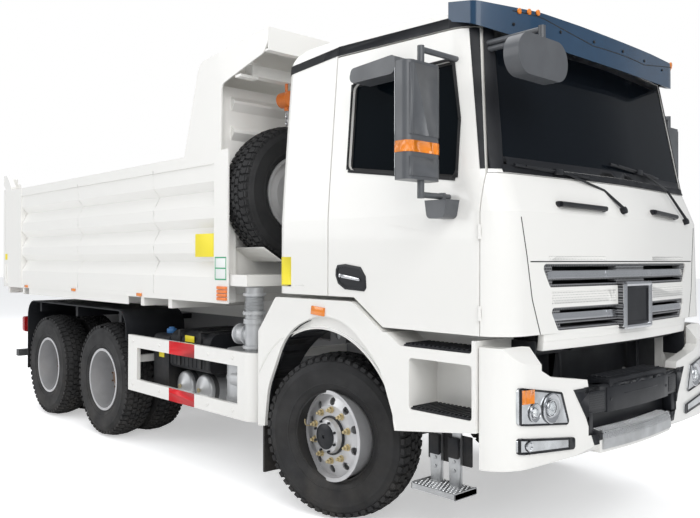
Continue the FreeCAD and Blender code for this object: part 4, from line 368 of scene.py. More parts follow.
def again(thing, name, move=(0, 0, 0), turn=0.0, mirror=False):
    """A copy with its own mesh, turned about the vertical, mirrored across the truck, then moved."""
    only(thing)
    bpy.ops.object.duplicate()
    copy = bpy.context.object
    copy.rotation_euler = (0, 0, turn)
    copy.scale = (1, -1 if mirror else 1, 1)
    copy.location = move
    called(name)
    if mirror:
        edit(copy)
        bpy.ops.mesh.select_all(action="SELECT")
        bpy.ops.mesh.normals_make_consistent(inside=False)
        leave()
    return copy


def skin(name, node, cuts, facing, proud=0.003, lean=0.35):
    """A thin sheet that follows a CAD node's face: its copy, cut by planes and lifted off the face.

    Facing is the way the kept faces look, or a test of one face."""
    only(NODES[node])
    bpy.ops.object.duplicate()
    thing = bpy.context.object
    for key in list(thing.keys()):
        del thing[key]
    thing.parent = None
    thing.data.materials.clear()
    edit(thing)
    bpy.ops.mesh.select_all(action="SELECT")
    bpy.ops.mesh.remove_doubles(threshold=0.00002)
    for place, normal in cuts:
        bpy.ops.mesh.select_all(action="SELECT")
        bpy.ops.mesh.bisect(plane_co=place, plane_no=normal, clear_outer=True)
    if callable(facing):
        choose(thing, "faces", lambda face: not facing(face))
    else:
        way = Vector(facing).normalized()
        choose(thing, "faces", lambda face: face.normal.dot(way) < lean)
    bpy.ops.mesh.delete(type="FACE")
    leave()
    if not thing.data.polygons:
        raise RuntimeError(name + " found no face to lie on")
    modify(thing, "SOLIDIFY", thickness=proud, offset=1.0, use_even_offset=False)
    return called(name)


def bow(node, z, places, play=0.0):
    """The front face's plan curve near a height: x falls with the square of y; returns its two numbers."""
    spots = []
    for y in places:
        found = [NODES[node].ray_cast(Vector((AHEAD, y, z + play * step / 6)), Vector((-1, 0, 0)))
                 for step in range(-6, 7)]
        reach = [place.x for hit, place, _, _ in found if hit]
        if reach:
            spots.append((y * y, max(reach)))
    mean_y = sum(spot[0] for spot in spots) / len(spots)
    mean_x = sum(spot[1] for spot in spots) / len(spots)
    fall = sum((y - mean_y) * (x - mean_x) for y, x in spots) / sum((y - mean_y) ** 2 for y, x in spots)
    return mean_x - fall * mean_y, fall


def curved(name, shape, reach, heights, deep, proud=0.0, lean=0.0, edge=0.003):
    """A strip that follows a plan curve from one y to another, its top leaning back."""
    reach = sorted(reach)
    steps = max(2, round((reach[1] - reach[0]) / 0.08))
    across = [reach[0] + (reach[1] - reach[0]) * step / steps for step in range(steps + 1)]
    face = [(shape[0] + shape[1] * y * y + proud, y) for y in across]
    thing = plate(name, "XY", face + [(x - deep, y) for x, y in reversed(face)], *heights)
    if lean:
        middle = (heights[0] + heights[1]) / 2
        edit(thing)
        choose(thing, "verts", lambda part: part.co.z > middle)
        bpy.ops.transform.translate(value=(-lean, 0, 0))
        leave()
    return rounded(thing, edge, 2, 0.9)


def window(x, y, z):
    """Cutting planes for a box given by pairs of limits; None leaves a side open."""
    cuts = []
    for axis, limits in enumerate((x, y, z)):
        if limits is None:
            continue
        for value, sign in ((min(limits), -1), (max(limits), 1)):
            place, normal = Vector((0, 0, 0)), Vector((0, 0, 0))
            place[axis], normal[axis] = value, sign
            cuts.append((place, normal))
    return cuts


def band(plane, start, end, width):
    """Cutting planes for a straight strip in a side or front view, from start to end."""
    first, second, through = AXES[plane]
    start, end = Vector(start), Vector(end)
    along = (end - start).normalized()
    across = Vector((-along[1], along[0]))
    cuts = []
    for spot, way in ((start, -along), (end, along), (start + across * width / 2, across),
                      (start - across * width / 2, -across)):
        place, normal = Vector((0, 0, 0)), Vector((0, 0, 0))
        place[first], place[second] = spot
        normal[first], normal[second] = way
        cuts.append((place, normal))
    return cuts


def touch(node, start, way):
    """Where a straight line from start first meets a CAD node."""
    found, place, normal, face = NODES[node].ray_cast(Vector(start), Vector(way).normalized())
    if not found:
        raise RuntimeError("nothing of %s lies that way from %s" % (node, tuple(start)))
    return place


# The record's slot that a finish usually stands for; labels and caps have none
SLOTS = {"Tyre rubber": "tyre", "Chequer metal": "step_metal", "Mirror glass": "glass",
         "Orange paint": "orange_paint", "Tank silver": "silver_tank", "Bright metal": "rim_silver",
         **dict.fromkeys(("Smooth black", "Black plastic", "Seal rubber", "Dark mesh", "Housing black"),
                         "black_plastic"), **dict.fromkeys(("White paint", "Bed paint", "Dotted white"),
                                                           "white_paint"),
         **dict.fromkeys(("Amber lens", "Clear lens", "Lamp glass"), "clear_lamp"),
         **dict.fromkeys(("Chassis paint", "Cast iron"), "chassis_paint"), }


def give(thing, finish, body, slot=None, angle=0.6):
    """The finished piece's material, body and record slot."""
    only(thing)
    bpy.ops.object.shade_smooth_by_angle(angle=angle)
    thing.data.materials.clear()
    thing.data.materials.append(FINISH[finish])
    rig.ride(thing, body)
    slot = slot or SLOTS.get(finish)
    if slot:
        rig.slot(thing, slot)
    return thing


def add(name, parts, finish, body, slot=None):
    """Several parts of one finish, welded and finished as one piece."""
    return give(weld(name, parts), finish, body, slot)


# Shared shader effects
GROUPS = {}
FINISH = {}


def group(name, inputs, outputs):
    """A shader node group with its sockets; returns it with its input and output nodes."""
    tree = bpy.data.node_groups.new(name, "ShaderNodeTree")
    for label, kind, default in inputs:
        socket = tree.interface.new_socket(name=label, in_out="INPUT", socket_type=kind)
        socket.default_value = default
    for label, kind in outputs:
        tree.interface.new_socket(name=label, in_out="OUTPUT", socket_type=kind)
    GROUPS[name] = tree
    return tree, tree.nodes.new("NodeGroupInput"), tree.nodes.new("NodeGroupOutput")


def node(tree, kind, **values):
    """A shader node with its settings and plain socket values."""
    made = tree.nodes.new("ShaderNode" + kind)
    for key, value in values.items():
        if key in made.inputs and not hasattr(made, key):
            made.inputs[key].default_value = value
        else:
            setattr(made, key, value)
    return made


def ramp(tree, source, low, high, dark=0.0, light=1.0):
    """A clamped change of range."""
    made = node(tree, "MapRange")
    made.inputs["From Min"].default_value = low
    made.inputs["From Max"].default_value = high
    made.inputs["To Min"].default_value = dark
    made.inputs["To Max"].default_value = light
    tree.links.new(source, made.inputs["Value"])
    return made.outputs["Result"]


def noise(tree, vector, scale, detail=3.0, rough=0.5):
    made = node(tree, "TexNoise")
    made.inputs["Scale"].default_value = scale
    made.inputs["Detail"].default_value = detail
    made.inputs["Roughness"].default_value = rough
    tree.links.new(vector, made.inputs["Vector"])
    return made.outputs["Fac"]


def calc(tree, operation, first, second):
    made = node(tree, "Math", operation=operation)
    for index, value in enumerate((first, second)):
        if isinstance(value, (int, float)):
            made.inputs[index].default_value = value
        else:
            tree.links.new(value, made.inputs[index])
    return made.outputs[0]


def make_groups():
    """The effects that more than one finish uses."""
    # road dust: thick near the ground, thin and patchy above
    tree, start, end = group("Road dust", [("Height", "NodeSocketFloat", 0.8),
                                           ("Amount", "NodeSocketFloat", 0.4)],
                             [("Mask", "NodeSocketFloat")])
    spot = node(tree, "TexCoord").outputs["Object"]
    apart = node(tree, "SeparateXYZ")
    tree.links.new(spot, apart.inputs[0])
    rise = calc(tree, "DIVIDE", apart.outputs["Z"], start.outputs["Height"])
    low = ramp(tree, rise, 1.0, 0.0)
    cloud = ramp(tree, noise(tree, spot, 5.0, 6.0, 0.62), 0.35, 0.72)
    fine = ramp(tree, noise(tree, spot, 90.0, 2.0), 0.3, 0.8, 0.6, 1.0)
    mask = calc(tree, "MULTIPLY", calc(tree, "MULTIPLY", low, cloud),
                calc(tree, "MULTIPLY", fine, start.outputs["Amount"]))
    tree.links.new(mask, end.inputs["Mask"])
    # worn patches: small irregular spots
    tree, start, end = group("Worn patches", [("Scale", "NodeSocketFloat", 14.0),
                                              ("Amount", "NodeSocketFloat", 0.3)],
                             [("Mask", "NodeSocketFloat")])
    spot = node(tree, "TexCoord").outputs["Object"]
    patch = node(tree, "TexNoise")
    patch.inputs["Detail"].default_value = 7.0
    patch.inputs["Roughness"].default_value = 0.7
    tree.links.new(spot, patch.inputs["Vector"])
    tree.links.new(start.outputs["Scale"], patch.inputs["Scale"])
    mask = calc(tree, "MULTIPLY", ramp(tree, patch.outputs["Fac"], 0.58, 0.70), start.outputs["Amount"])
    tree.links.new(mask, end.inputs["Mask"])
    # orange peel: the slow ripple of sprayed paint
    tree, start, end = group("Orange peel", [("Scale", "NodeSocketFloat", 160.0)],
                             [("Height", "NodeSocketFloat")])
    spot = node(tree, "TexCoord").outputs["Object"]
    ripple = node(tree, "TexNoise")
    ripple.inputs["Detail"].default_value = 1.0
    tree.links.new(spot, ripple.inputs["Vector"])
    tree.links.new(start.outputs["Scale"], ripple.inputs["Scale"])
    tree.links.new(ripple.outputs["Fac"], end.inputs["Height"])
    # moulded grain: the small cells of textured plastic
    tree, start, end = group("Moulded grain", [("Scale", "NodeSocketFloat", 420.0)],
                             [("Height", "NodeSocketFloat"), ("Tone", "NodeSocketFloat")])
    spot = node(tree, "TexCoord").outputs["Object"]
    cell = node(tree, "TexVoronoi")
    tree.links.new(spot, cell.inputs["Vector"])
    tree.links.new(start.outputs["Scale"], cell.inputs["Scale"])
    tree.links.new(cell.outputs["Distance"], end.inputs["Height"])
    tree.links.new(ramp(tree, noise(tree, spot, 7.0, 3.0), 0.3, 0.7), end.inputs["Tone"])
    # holes in staggered rows, for mesh
    tree, start, end = group("Mesh holes", [("Scale", "NodeSocketFloat", 60.0),
                                            ("Hole", "NodeSocketFloat", 0.35)],
                             [("Solid", "NodeSocketFloat")])
    spot = node(tree, "TexCoord").outputs["Object"]
    apart = node(tree, "SeparateXYZ")
    tree.links.new(spot, apart.inputs[0])
    along = calc(tree, "MULTIPLY", apart.outputs["Y"], start.outputs["Scale"])
    up = calc(tree, "MULTIPLY", apart.outputs["Z"], start.outputs["Scale"])
    row = calc(tree, "MULTIPLY", calc(tree, "PINGPONG", calc(tree, "FLOOR", up, 0.0), 1.0), 0.5)
    across = calc(tree, "ABSOLUTE", calc(tree, "SUBTRACT",
                                         calc(tree, "FRACT", calc(tree, "ADD", along, row), 0.0), 0.5), 0.0)
    rise = calc(tree, "ABSOLUTE", calc(tree, "SUBTRACT", calc(tree, "FRACT", up, 0.0), 0.5), 0.0)
    far = calc(tree, "MAXIMUM", calc(tree, "ADD", calc(tree, "MULTIPLY", across, 0.8),
                                     calc(tree, "MULTIPLY", rise, 0.45)), rise)
    tree.links.new(calc(tree, "GREATER_THAN", far, start.outputs["Hole"]), end.inputs["Solid"])
    # brushed or rolled metal
    tree, start, end = group("Drawn metal", [("Scale", "NodeSocketFloat", 30.0)],
                             [("Height", "NodeSocketFloat"), ("Tone", "NodeSocketFloat")])
    spot = node(tree, "TexCoord").outputs["Object"]
    stretch = node(tree, "Mapping")
    stretch.inputs["Scale"].default_value = (1.0, 12.0, 12.0)
    tree.links.new(spot, stretch.inputs["Vector"])
    line = node(tree, "TexNoise")
    line.inputs["Detail"].default_value = 4.0
    tree.links.new(stretch.outputs[0], line.inputs["Vector"])
    tree.links.new(start.outputs["Scale"], line.inputs["Scale"])
    tree.links.new(line.outputs["Fac"], end.inputs["Height"])
    tree.links.new(ramp(tree, noise(tree, spot, 9.0, 4.0), 0.3, 0.7), end.inputs["Tone"])
    # woven cloth
    tree, start, end = group("Woven cloth", [("Scale", "NodeSocketFloat", 300.0)],
                             [("Height", "NodeSocketFloat")])
    spot = node(tree, "TexCoord").outputs["Object"]
    waves = []
    for way in ("X", "Z"):
        wave = node(tree, "TexWave", bands_direction=way)
        wave.inputs["Distortion"].default_value = 0.4
        tree.links.new(spot, wave.inputs["Vector"])
        tree.links.new(start.outputs["Scale"], wave.inputs["Scale"])
        waves.append(wave.outputs["Fac"])
    tree.links.new(calc(tree, "MULTIPLY", waves[0], waves[1]), end.inputs["Height"])


def use(tree, name, **values):
    """A shared effect placed in a material with its own values."""
    made = tree.nodes.new("ShaderNodeGroup")
    made.node_tree = GROUPS[name]
    for key, value in values.items():
        made.inputs[key].default_value = value
    return made


def mixed(tree, mask, first, second):
    """One colour over another by a mask."""
    made = node(tree, "Mix", data_type="RGBA")
    for socket, value in ((made.inputs["Factor"], mask), (made.inputs[6], first), (made.inputs[7], second)):
        if hasattr(value, "is_linked"):
            tree.links.new(value, socket)
        else:
            socket.default_value = value if isinstance(value, float) else (*value, 1.0)[:4]
    return made.outputs[2]


DUST = (0.30, 0.26, 0.21)


def finish(name, base, rough, metal=0.0, coat=0.0, effect=None, scale=0.0, bump=0.0, tone=0.0, dust=0.0,
           height=0.9, worn=0.0, worn_colour=(0.25, 0.25, 0.25), clear=0.0, alpha=1.0, ior=1.5, shine=0.5):
    """A finish: its own colour with dust, wear and the relief of one shared effect."""
    made = bpy.data.materials.new(name)
    made.use_nodes = True
    made.diffuse_color = (*base, 1.0)
    tree = made.node_tree
    shader = tree.nodes["Principled BSDF"]
    shader.inputs["Base Color"].default_value = (*base, 1.0)
    shader.inputs["Roughness"].default_value = rough
    shader.inputs["Metallic"].default_value = metal
    shader.inputs["Coat Weight"].default_value = coat
    shader.inputs["Coat Roughness"].default_value = 0.06
    shader.inputs["Transmission Weight"].default_value = clear
    shader.inputs["Alpha"].default_value = alpha
    shader.inputs["IOR"].default_value = ior
    shader.inputs["Specular IOR Level"].default_value = shine
    paint = tuple(base)
    if effect:
        made_effect = use(tree, effect, Scale=scale)
        if "Tone" in made_effect.outputs and tone:
            darker = tuple(value * (1 - tone) for value in base)
            paint = mixed(tree, made_effect.outputs["Tone"], darker, paint)
            tree.links.new(ramp(tree, made_effect.outputs["Tone"], 0.0, 1.0, rough * 1.15, rough * 0.88),
                           shader.inputs["Roughness"])
        if bump:
            relief = node(tree, "Bump")
            relief.inputs["Strength"].default_value = bump
            relief.inputs["Distance"].default_value = 0.001
            tree.links.new(made_effect.outputs["Height"], relief.inputs["Height"])
            tree.links.new(relief.outputs["Normal"], shader.inputs["Normal"])
    if worn:
        paint = mixed(tree, use(tree, "Worn patches", Scale=16.0, Amount=worn).outputs["Mask"], paint,
                      worn_colour)
    if dust:
        paint = mixed(tree, use(tree, "Road dust", Height=height, Amount=dust).outputs["Mask"], paint, DUST)
    if not isinstance(paint, tuple):
        tree.links.new(paint, shader.inputs["Base Color"])
    FINISH[name] = made
    return made


def holes_finish(name, base, rough, scale, hole, dark=(0.004, 0.004, 0.005), metal=0.0):
    """A sheet with rows of holes, drawn as near-black cells."""
    made = finish(name, base, rough, metal)
    tree = made.node_tree
    shader = tree.nodes["Principled BSDF"]
    solid = use(tree, "Mesh holes", Scale=scale, Hole=hole).outputs["Solid"]
    tree.links.new(mixed(tree, solid, dark, tuple(base)), shader.inputs["Base Color"])
    relief = node(tree, "Bump")
    relief.inputs["Strength"].default_value = 0.6
    relief.inputs["Distance"].default_value = 0.002
    tree.links.new(solid, relief.inputs["Height"])
    tree.links.new(relief.outputs["Normal"], shader.inputs["Normal"])
    return made


def make_finishes():
    """Every material of the truck."""
    pick = bpy.context.scene.truck_colours
    white, black, silver = tuple(pick.white), tuple(pick.black), tuple(pick.silver)
    rubber, chassis = tuple(pick.rubber), tuple(pick.chassis)
    finish("White paint", white, 0.28, coat=0.5, effect="Orange peel", scale=140.0, bump=0.04, dust=0.35,
           height=0.75)
    finish("Bed paint", tuple(v * 1.03 for v in white), 0.36, coat=0.25, effect="Orange peel", scale=90.0,
           bump=0.08, dust=0.2, height=1.5)
    finish("Visor tint", tuple(pick.visor), 0.20, coat=0.25, shine=0.35, effect="Moulded grain",
           scale=700.0, bump=0.02, tone=0.12)
    finish("Black plastic", black, 0.50, shine=0.25, effect="Moulded grain", scale=420.0, bump=0.12,
           tone=0.25, dust=0.3, height=1.0)
    finish("Smooth black", black, 0.36, shine=0.3, effect="Moulded grain", scale=900.0, bump=0.03, tone=0.15)
    finish("Chassis paint", chassis, 0.5, effect="Orange peel", scale=60.0, bump=0.15, dust=0.5, height=1.3,
           worn=0.15)
    finish("Subframe paint", (0.20, 0.20, 0.205), 0.45, effect="Orange peel", scale=60.0, bump=0.12,
           dust=0.3, height=1.3)
    finish("Cast iron", (0.075, 0.078, 0.085), 0.6, metal=0.3, effect="Orange peel", scale=220.0, bump=0.4,
           dust=0.6, height=1.1, worn=0.2)
    finish("Rim silver", (0.60, 0.60, 0.61), 0.38, metal=0.6, effect="Drawn metal", scale=18.0, bump=0.03,
           tone=0.12, dust=0.25, height=1.1)
    finish("Tank silver", silver, 0.40, metal=0.45, effect="Drawn metal", scale=22.0, bump=0.05, tone=0.18,
           dust=0.3, height=1.1)
    finish("Bright metal", (0.62, 0.63, 0.65), 0.16, metal=1.0, effect="Drawn metal", scale=40.0, bump=0.02,
           tone=0.08)
    finish("Brass", (0.66, 0.55, 0.33), 0.36, metal=0.8, effect="Drawn metal", scale=60.0, bump=0.05,
           tone=0.2)
    finish("Hub brown", (0.13, 0.075, 0.045), 0.6, metal=0.25, effect="Orange peel", scale=200.0, bump=0.3,
           dust=0.5)
    finish("Tyre rubber", rubber, 0.74, effect="Moulded grain", scale=260.0, bump=0.10, tone=0.25,
           dust=0.14, height=1.0)
    finish("Seal rubber", (0.010, 0.010, 0.011), 0.6, effect="Moulded grain", scale=300.0, bump=0.08,
           tone=0.2)
    finish("Chequer metal", (0.52, 0.53, 0.54), 0.34, metal=0.85, effect="Drawn metal", scale=50.0,
           bump=0.1, tone=0.2, dust=0.3)
    finish("Orange paint", tuple(pick.orange), 0.4, coat=0.2, effect="Orange peel", scale=120.0, bump=0.08,
           worn=0.1)
    finish("Red band", tuple(pick.red), 0.36, coat=0.1, shine=0.3, effect="Orange peel", scale=200.0,
           bump=0.05)
    finish("Yellow label", tuple(pick.yellow), 0.45, effect="Orange peel", scale=300.0, bump=0.03)
    finish("Green band", (0.03, 0.35, 0.16), 0.4, effect="Orange peel", scale=300.0, bump=0.03)
    finish("Housing black", (0.085, 0.090, 0.098), 0.40, coat=0.15, effect="Moulded grain", scale=500.0,
           bump=0.06, tone=0.15)
    finish("Lamp body", (0.66, 0.68, 0.70), 0.12, metal=0.85, coat=1.0, effect="Drawn metal", scale=16.0,
           bump=0.5, tone=0.5)
    finish("White label", (0.78, 0.80, 0.79), 0.4, effect="Orange peel", scale=300.0, bump=0.03)
    finish("Amber lens", tuple(pick.amber), 0.12, coat=0.8, effect="Moulded grain", scale=240.0, bump=0.15,
           tone=0.2)
    finish("Red lens", (0.45, 0.01, 0.012), 0.12, coat=0.8, effect="Moulded grain", scale=240.0, bump=0.15,
           tone=0.2)
    finish("Blue cap", (0.05, 0.20, 0.48), 0.4, effect="Moulded grain", scale=200.0, bump=0.1, tone=0.1)
    finish("Lamp glass", (0.95, 0.97, 0.98), 0.03, clear=1.0, ior=1.3)
    finish("Clear lens", (0.82, 0.85, 0.88), 0.05, coat=1.0, alpha=0.22, effect="Orange peel", scale=60.0,
           bump=0.1)
    finish("Screen glass", (0.006, 0.008, 0.011), 0.06, shine=0.04, alpha=0.975, effect="Orange peel",
           scale=4.0, bump=0.01)
    finish("Side glass", (0.003, 0.005, 0.007), 0.08, shine=0.01, alpha=0.99, effect="Orange peel",
           scale=4.0, bump=0.01)
    finish("Mirror glass", (0.75, 0.77, 0.78), 0.02, metal=1.0, effect="Orange peel", scale=3.0, bump=0.01)
    finish("Dark cloth", (0.045, 0.047, 0.052), 0.85, effect="Woven cloth", scale=240.0, bump=0.3)
    holes_finish("Grille mesh", (0.19, 0.192, 0.20), 0.45, 62.0, 0.34)
    holes_finish("Dark mesh", (0.030, 0.031, 0.034), 0.5, 80.0, 0.30)
    holes_finish("Dotted white", tuple(v * 0.97 for v in white), 0.35, 70.0, 0.16, dark=(0.22, 0.22, 0.22))


# Finishes of the CAD nodes that stay in view
NODE_FINISH = {"White paint": ["bumper", "fenders", "side_guards", "cab_shell", "front_panel", "door_left",
                               "door_right"], "Bed paint": ["bed", "canopy", "tailgate", "bed_fittings"],
               "Visor tint": ["visor"], "Screen glass": ["windscreen"],
               "Side glass": ["door_glass_left", "door_glass_right"],
               "Black plastic": ["tandem_fenders", "side_boxes"], "Lamp body": ["headlamps"],
               "Housing black": ["mirrors_left", "mirrors_right", "front_mirror"],
               "Grille mesh": ["grille"], "Chequer metal": ["steps", "step_plate"],
               "Dark cloth": ["cab_interior"], "Chassis paint": ["tail_bar", "suspension"],
               "Subframe paint": ["chassis_frame"], "Cast iron": ["front_axle", "rear_axles", "powertrain",
                                                                  "knuckle_left", "knuckle_right"],
               "Tank silver": ["fuel_tank", "air_tanks", "exhaust", "hoist_barrel"],
               "Bright metal": ["hoist_stage_1", "hoist_stage_2", "hoist_rod"],
               "Rim silver": ["rim_front_left", "rim_front_right", "rims_middle_left", "rims_middle_right",
                              "rims_rear_left", "rims_rear_right", "spare_rim"],
               "Orange paint": ["chain_hoist"], "Red lens": ["rear_lamps"], }


class TRUCK_OT_finishes(bpy.types.Operator):
    """Make the materials and give them to the CAD nodes that stay in view"""
    bl_idname = "truck.finishes"
    bl_label = "Finishes"

    def execute(self, context):
        make_groups()
        make_finishes()
        for label, names in NODE_FINISH.items():
            for name in names:
                thing = NODES[name]
                only(thing)
                thing.data.materials.clear()
                thing.data.materials.append(FINISH[label])
                bpy.ops.object.shade_smooth_by_angle(angle=0.6)
        return {"FINISHED"}


def crown(across, depth=0.0):
    """Height of the tread above the wheel's centre, a distance across from its middle."""
    return CROWN - 0.017 * (min(abs(across), 0.128) / 0.115) ** 2 - depth


def tread_block(corners, depth):
    """One tread block: its outline lies on the groove floor and its top follows the crown."""
    bpy.ops.object.select_all(action="DESELECT")
    bpy.ops.mesh.primitive_circle_add(vertices=len(corners), radius=1, fill_type="NGON")
    thing = bpy.context.object
    edit(thing)
    spots = [Vector((x, y, crown(y, depth + 0.004))) for x, y in corners]
    for index, spot in enumerate(spots):
        choose(thing, "verts", lambda part, at=index: part.index == at)
        old = bmesh.from_edit_mesh(thing.data).verts
        old.ensure_lookup_table()
        bpy.ops.transform.translate(value=spot - old[index].co)
    bpy.ops.mesh.select_all(action="SELECT")
    bpy.ops.mesh.extrude_region_move(TRANSFORM_OT_translate={"value": (0, 0, depth + 0.004)})
    bpy.ops.transform.resize(value=(0.94, 0.97, 1.0),
                             center_override=(sum(c[0] for c in corners) / len(corners),
                                              sum(c[1] for c in corners) / len(corners), 0))
    bpy.ops.mesh.select_all(action="SELECT")
    bpy.ops.mesh.normals_make_consistent(inside=False)
    leave()
    return thing


def make_tyre(sizes):
    """One tyre, its axle along Y through the origin."""
    deep = sizes.tread_depth
    half = [(0.0, crown(0, deep)), (0.060, crown(0.060, deep)), (0.113, crown(0.113, deep)), (0.121, 0.508),
            (0.133, 0.492), (0.136, 0.489), (0.139, 0.480), (0.147, 0.455), (0.1495, 0.451),
            (0.1495, 0.444), (0.1485, 0.440), (0.1490, 0.405), (0.1475, 0.375), (0.1440, 0.352),
            (0.1455, 0.349), (0.1455, 0.343), (0.1410, 0.340), (0.1310, 0.318), (0.1210, 0.303),
            (0.1150, 0.2995), (0.1150, 0.2885)]
    section = half + [(-across, radius) for across, radius in half[:0:-1]]
    tyre = ring("tyre_model", section, (0, 0, 0), steps=72)
    pitch = math.tau * CROWN / sizes.tread_pitches
    quarter = pitch / 4
    rows = [[(-1.6, -0.018), (-1.9, 0), (-1.6, 0.018), (1.5, 0.018), (1.2, 0), (1.5, -0.018)]]
    for sign in (-1, 1):
        rows.append([(-1.5, sign * 0.026), (-1.0, sign * 0.044), (-1.4, sign * 0.062), (1.6, sign * 0.062),
                     (2.0, sign * 0.044), (1.5, sign * 0.026)])
        rows.append([(-1.3, sign * 0.070), (-1.7, sign * 0.088), (-1.3, sign * 0.117), (1.3, sign * 0.117),
                     (1.3, sign * 0.088), (1.8, sign * 0.070)])
    parts = []
    for number, row in enumerate(rows):
        shift = (0, 2, 0, -2, 0)[number]
        parts.append(tread_block([((x + shift) * quarter, y) for x, y in row], deep))
    for sign in (-1, 1):
        lug = box("lug", (-1.25 * quarter, sign * 0.127 - 0.011, 0.494),
                  (1.25 * quarter, sign * 0.127 + 0.009, 0.521), 0.003, 1)
        parts.append(lug)
    pattern = weld("tread_pattern", parts)
    edit(pattern)
    bpy.ops.mesh.select_all(action="SELECT")
    bpy.ops.mesh.spin(steps=sizes.tread_pitches, angle=math.tau, dupli=True, center=(0, 0, 0), axis=(0, 1, 0))
    leave()
    return weld("tyre_model", [tyre, pattern])


class TRUCK_OT_tyres(bpy.types.Operator):
    """Tyres with block tread, lugged shoulders and ribbed sidewalls"""
    bl_idname = "truck.tyres"
    bl_label = "Tyres"

    def execute(self, context):
        model = make_tyre(context.scene.truck_sizes)
        for side, sign in SIDES:
            front = again(model, "tread_front_" + side, (AXLE, sign * FRONT_TRACK, CROWN), turn=0.3)
            front.location = (0, 0, 0)
            give(front, "Tyre rubber", "wheel_front_" + side, "tyre", 0.5)
            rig.replaces(front, "tyre_front_" + side)
            for row, x in REAR_ROWS:
                pair = [again(model, "tread", (x, sign * y, CROWN)) for y in TWINS]
                pair = weld("tread_%s_%s" % (row, side), pair)
                give(pair, "Tyre rubber", "wheels_%s_%s" % (row, side), "tyre", 0.5)
                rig.replaces(pair, "tyres_%s_%s" % (row, side))
        low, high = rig.box("spare_tyre")
        spare = again(model, "tread_spare", (low + high) / 2, turn=math.pi / 2)
        give(spare, "Tyre rubber", "bed", "tyre", 0.5)
        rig.replaces(spare, "spare_tyre")
        only(model)
        bpy.ops.object.delete()
        return {"FINISHED"}


def nut(name, radius):
    """A wheel nut with its washer and stud end, standing along -Y from the origin."""
    parts = [bar("washer", (0, 0, 0), (0, -0.005, 0), radius * 1.25, 16, 0.001),
             bar("hexagon", (0, -0.004, 0), (0, -0.026, 0), radius, 6, 0.0015),
             bar("stud", (0, -0.022, 0), (0, -0.046, 0), radius * 0.52, 10, 0.0015)]
    return weld(name, parts)


def round_set(model, count, radius, centre, side, first=0.0):
    """Copies of a model on a circle about an axle along Y, facing outwards on its side."""
    copies = []
    for index in range(count):
        angle = first + math.tau * index / count
        spot = Vector(centre) + Vector((radius * math.cos(angle), 0, radius * math.sin(angle)))
        copies.append(again(model, "copy", spot, turn=0 if side < 0 else math.pi))
    return copies


class TRUCK_OT_wheel_fittings(bpy.types.Operator):
    """Wheel nuts, hubs, valves and axle ends"""
    bl_idname = "truck.wheel_fittings"
    bl_label = "Wheel fittings"

    def execute(self, context):
        sizes = context.scene.truck_sizes
        model = nut("nut_model", sizes.nut_radius)
        for side, sign in SIDES:
            out = Vector((0, sign, 0))
            wheels = [("front", AXLE, "rim_front_", "wheel_front_", True)]
            wheels += [(row, x, "rims_%s_" % row, "wheels_%s_" % row, False) for row, x in REAR_ROWS]
            for label, x, nodes, body, brass in wheels:
                disc = touch(nodes + side, (x + sizes.stud_circle, sign * 1.4, CROWN + 0.002), -out).y
                face = (x, disc, CROWN)
                nuts = weld("nuts_%s_%s" % (label, side), round_set(model, 10, sizes.stud_circle, face,
                                                                    sign, 0.314))
                give(nuts, "Brass" if brass else "Rim silver", body + side, "rim_silver")
                hub = touch(nodes + side, (x, sign * 1.4, CROWN), -out).y
                parts = [ring("hub_ring", [(0, 0.108), (0, 0.128), (sign * 0.010, 0.128),
                                           (sign * 0.014, 0.118), (sign * 0.014, 0.108)], (x, disc, CROWN),
                              steps=40), ring("cap", [(-sign * 0.01, 0.012), (-sign * 0.01, 0.084),
                                                      (sign * 0.004, 0.084), (sign * 0.010, 0.074),
                                                      (sign * 0.014, 0.040), (sign * 0.016, 0.012)],
                                              (x, hub, CROWN), steps=40)]
                for index in range(8):
                    angle = math.tau * (index + 0.5) / 8
                    spot = Vector((x + 0.100 * math.cos(angle), hub, CROWN + 0.100 * math.sin(angle)))
                    parts.append(bar("bolt", spot - out * 0.004, spot + out * 0.012, 0.009, 6, 0.001))
                add("hub_%s_%s" % (label, side), parts, "Smooth black" if brass else "Hub brown",
                    body + side, "cast_axle")
                stem = Vector((x - 0.215, disc, CROWN + 0.03))
                valve = pipe("valve_%s_%s" % (label, side), [stem - out * 0.01, stem + out * 0.03,
                                                             stem + out * 0.05 + UP * 0.02,
                                                             stem + out * 0.05 + UP * 0.05], 0.0045, 8)
                give(valve, "Brass", body + side, "rim_silver")
        only(model)
        bpy.ops.object.delete()
        return {"FINISHED"}


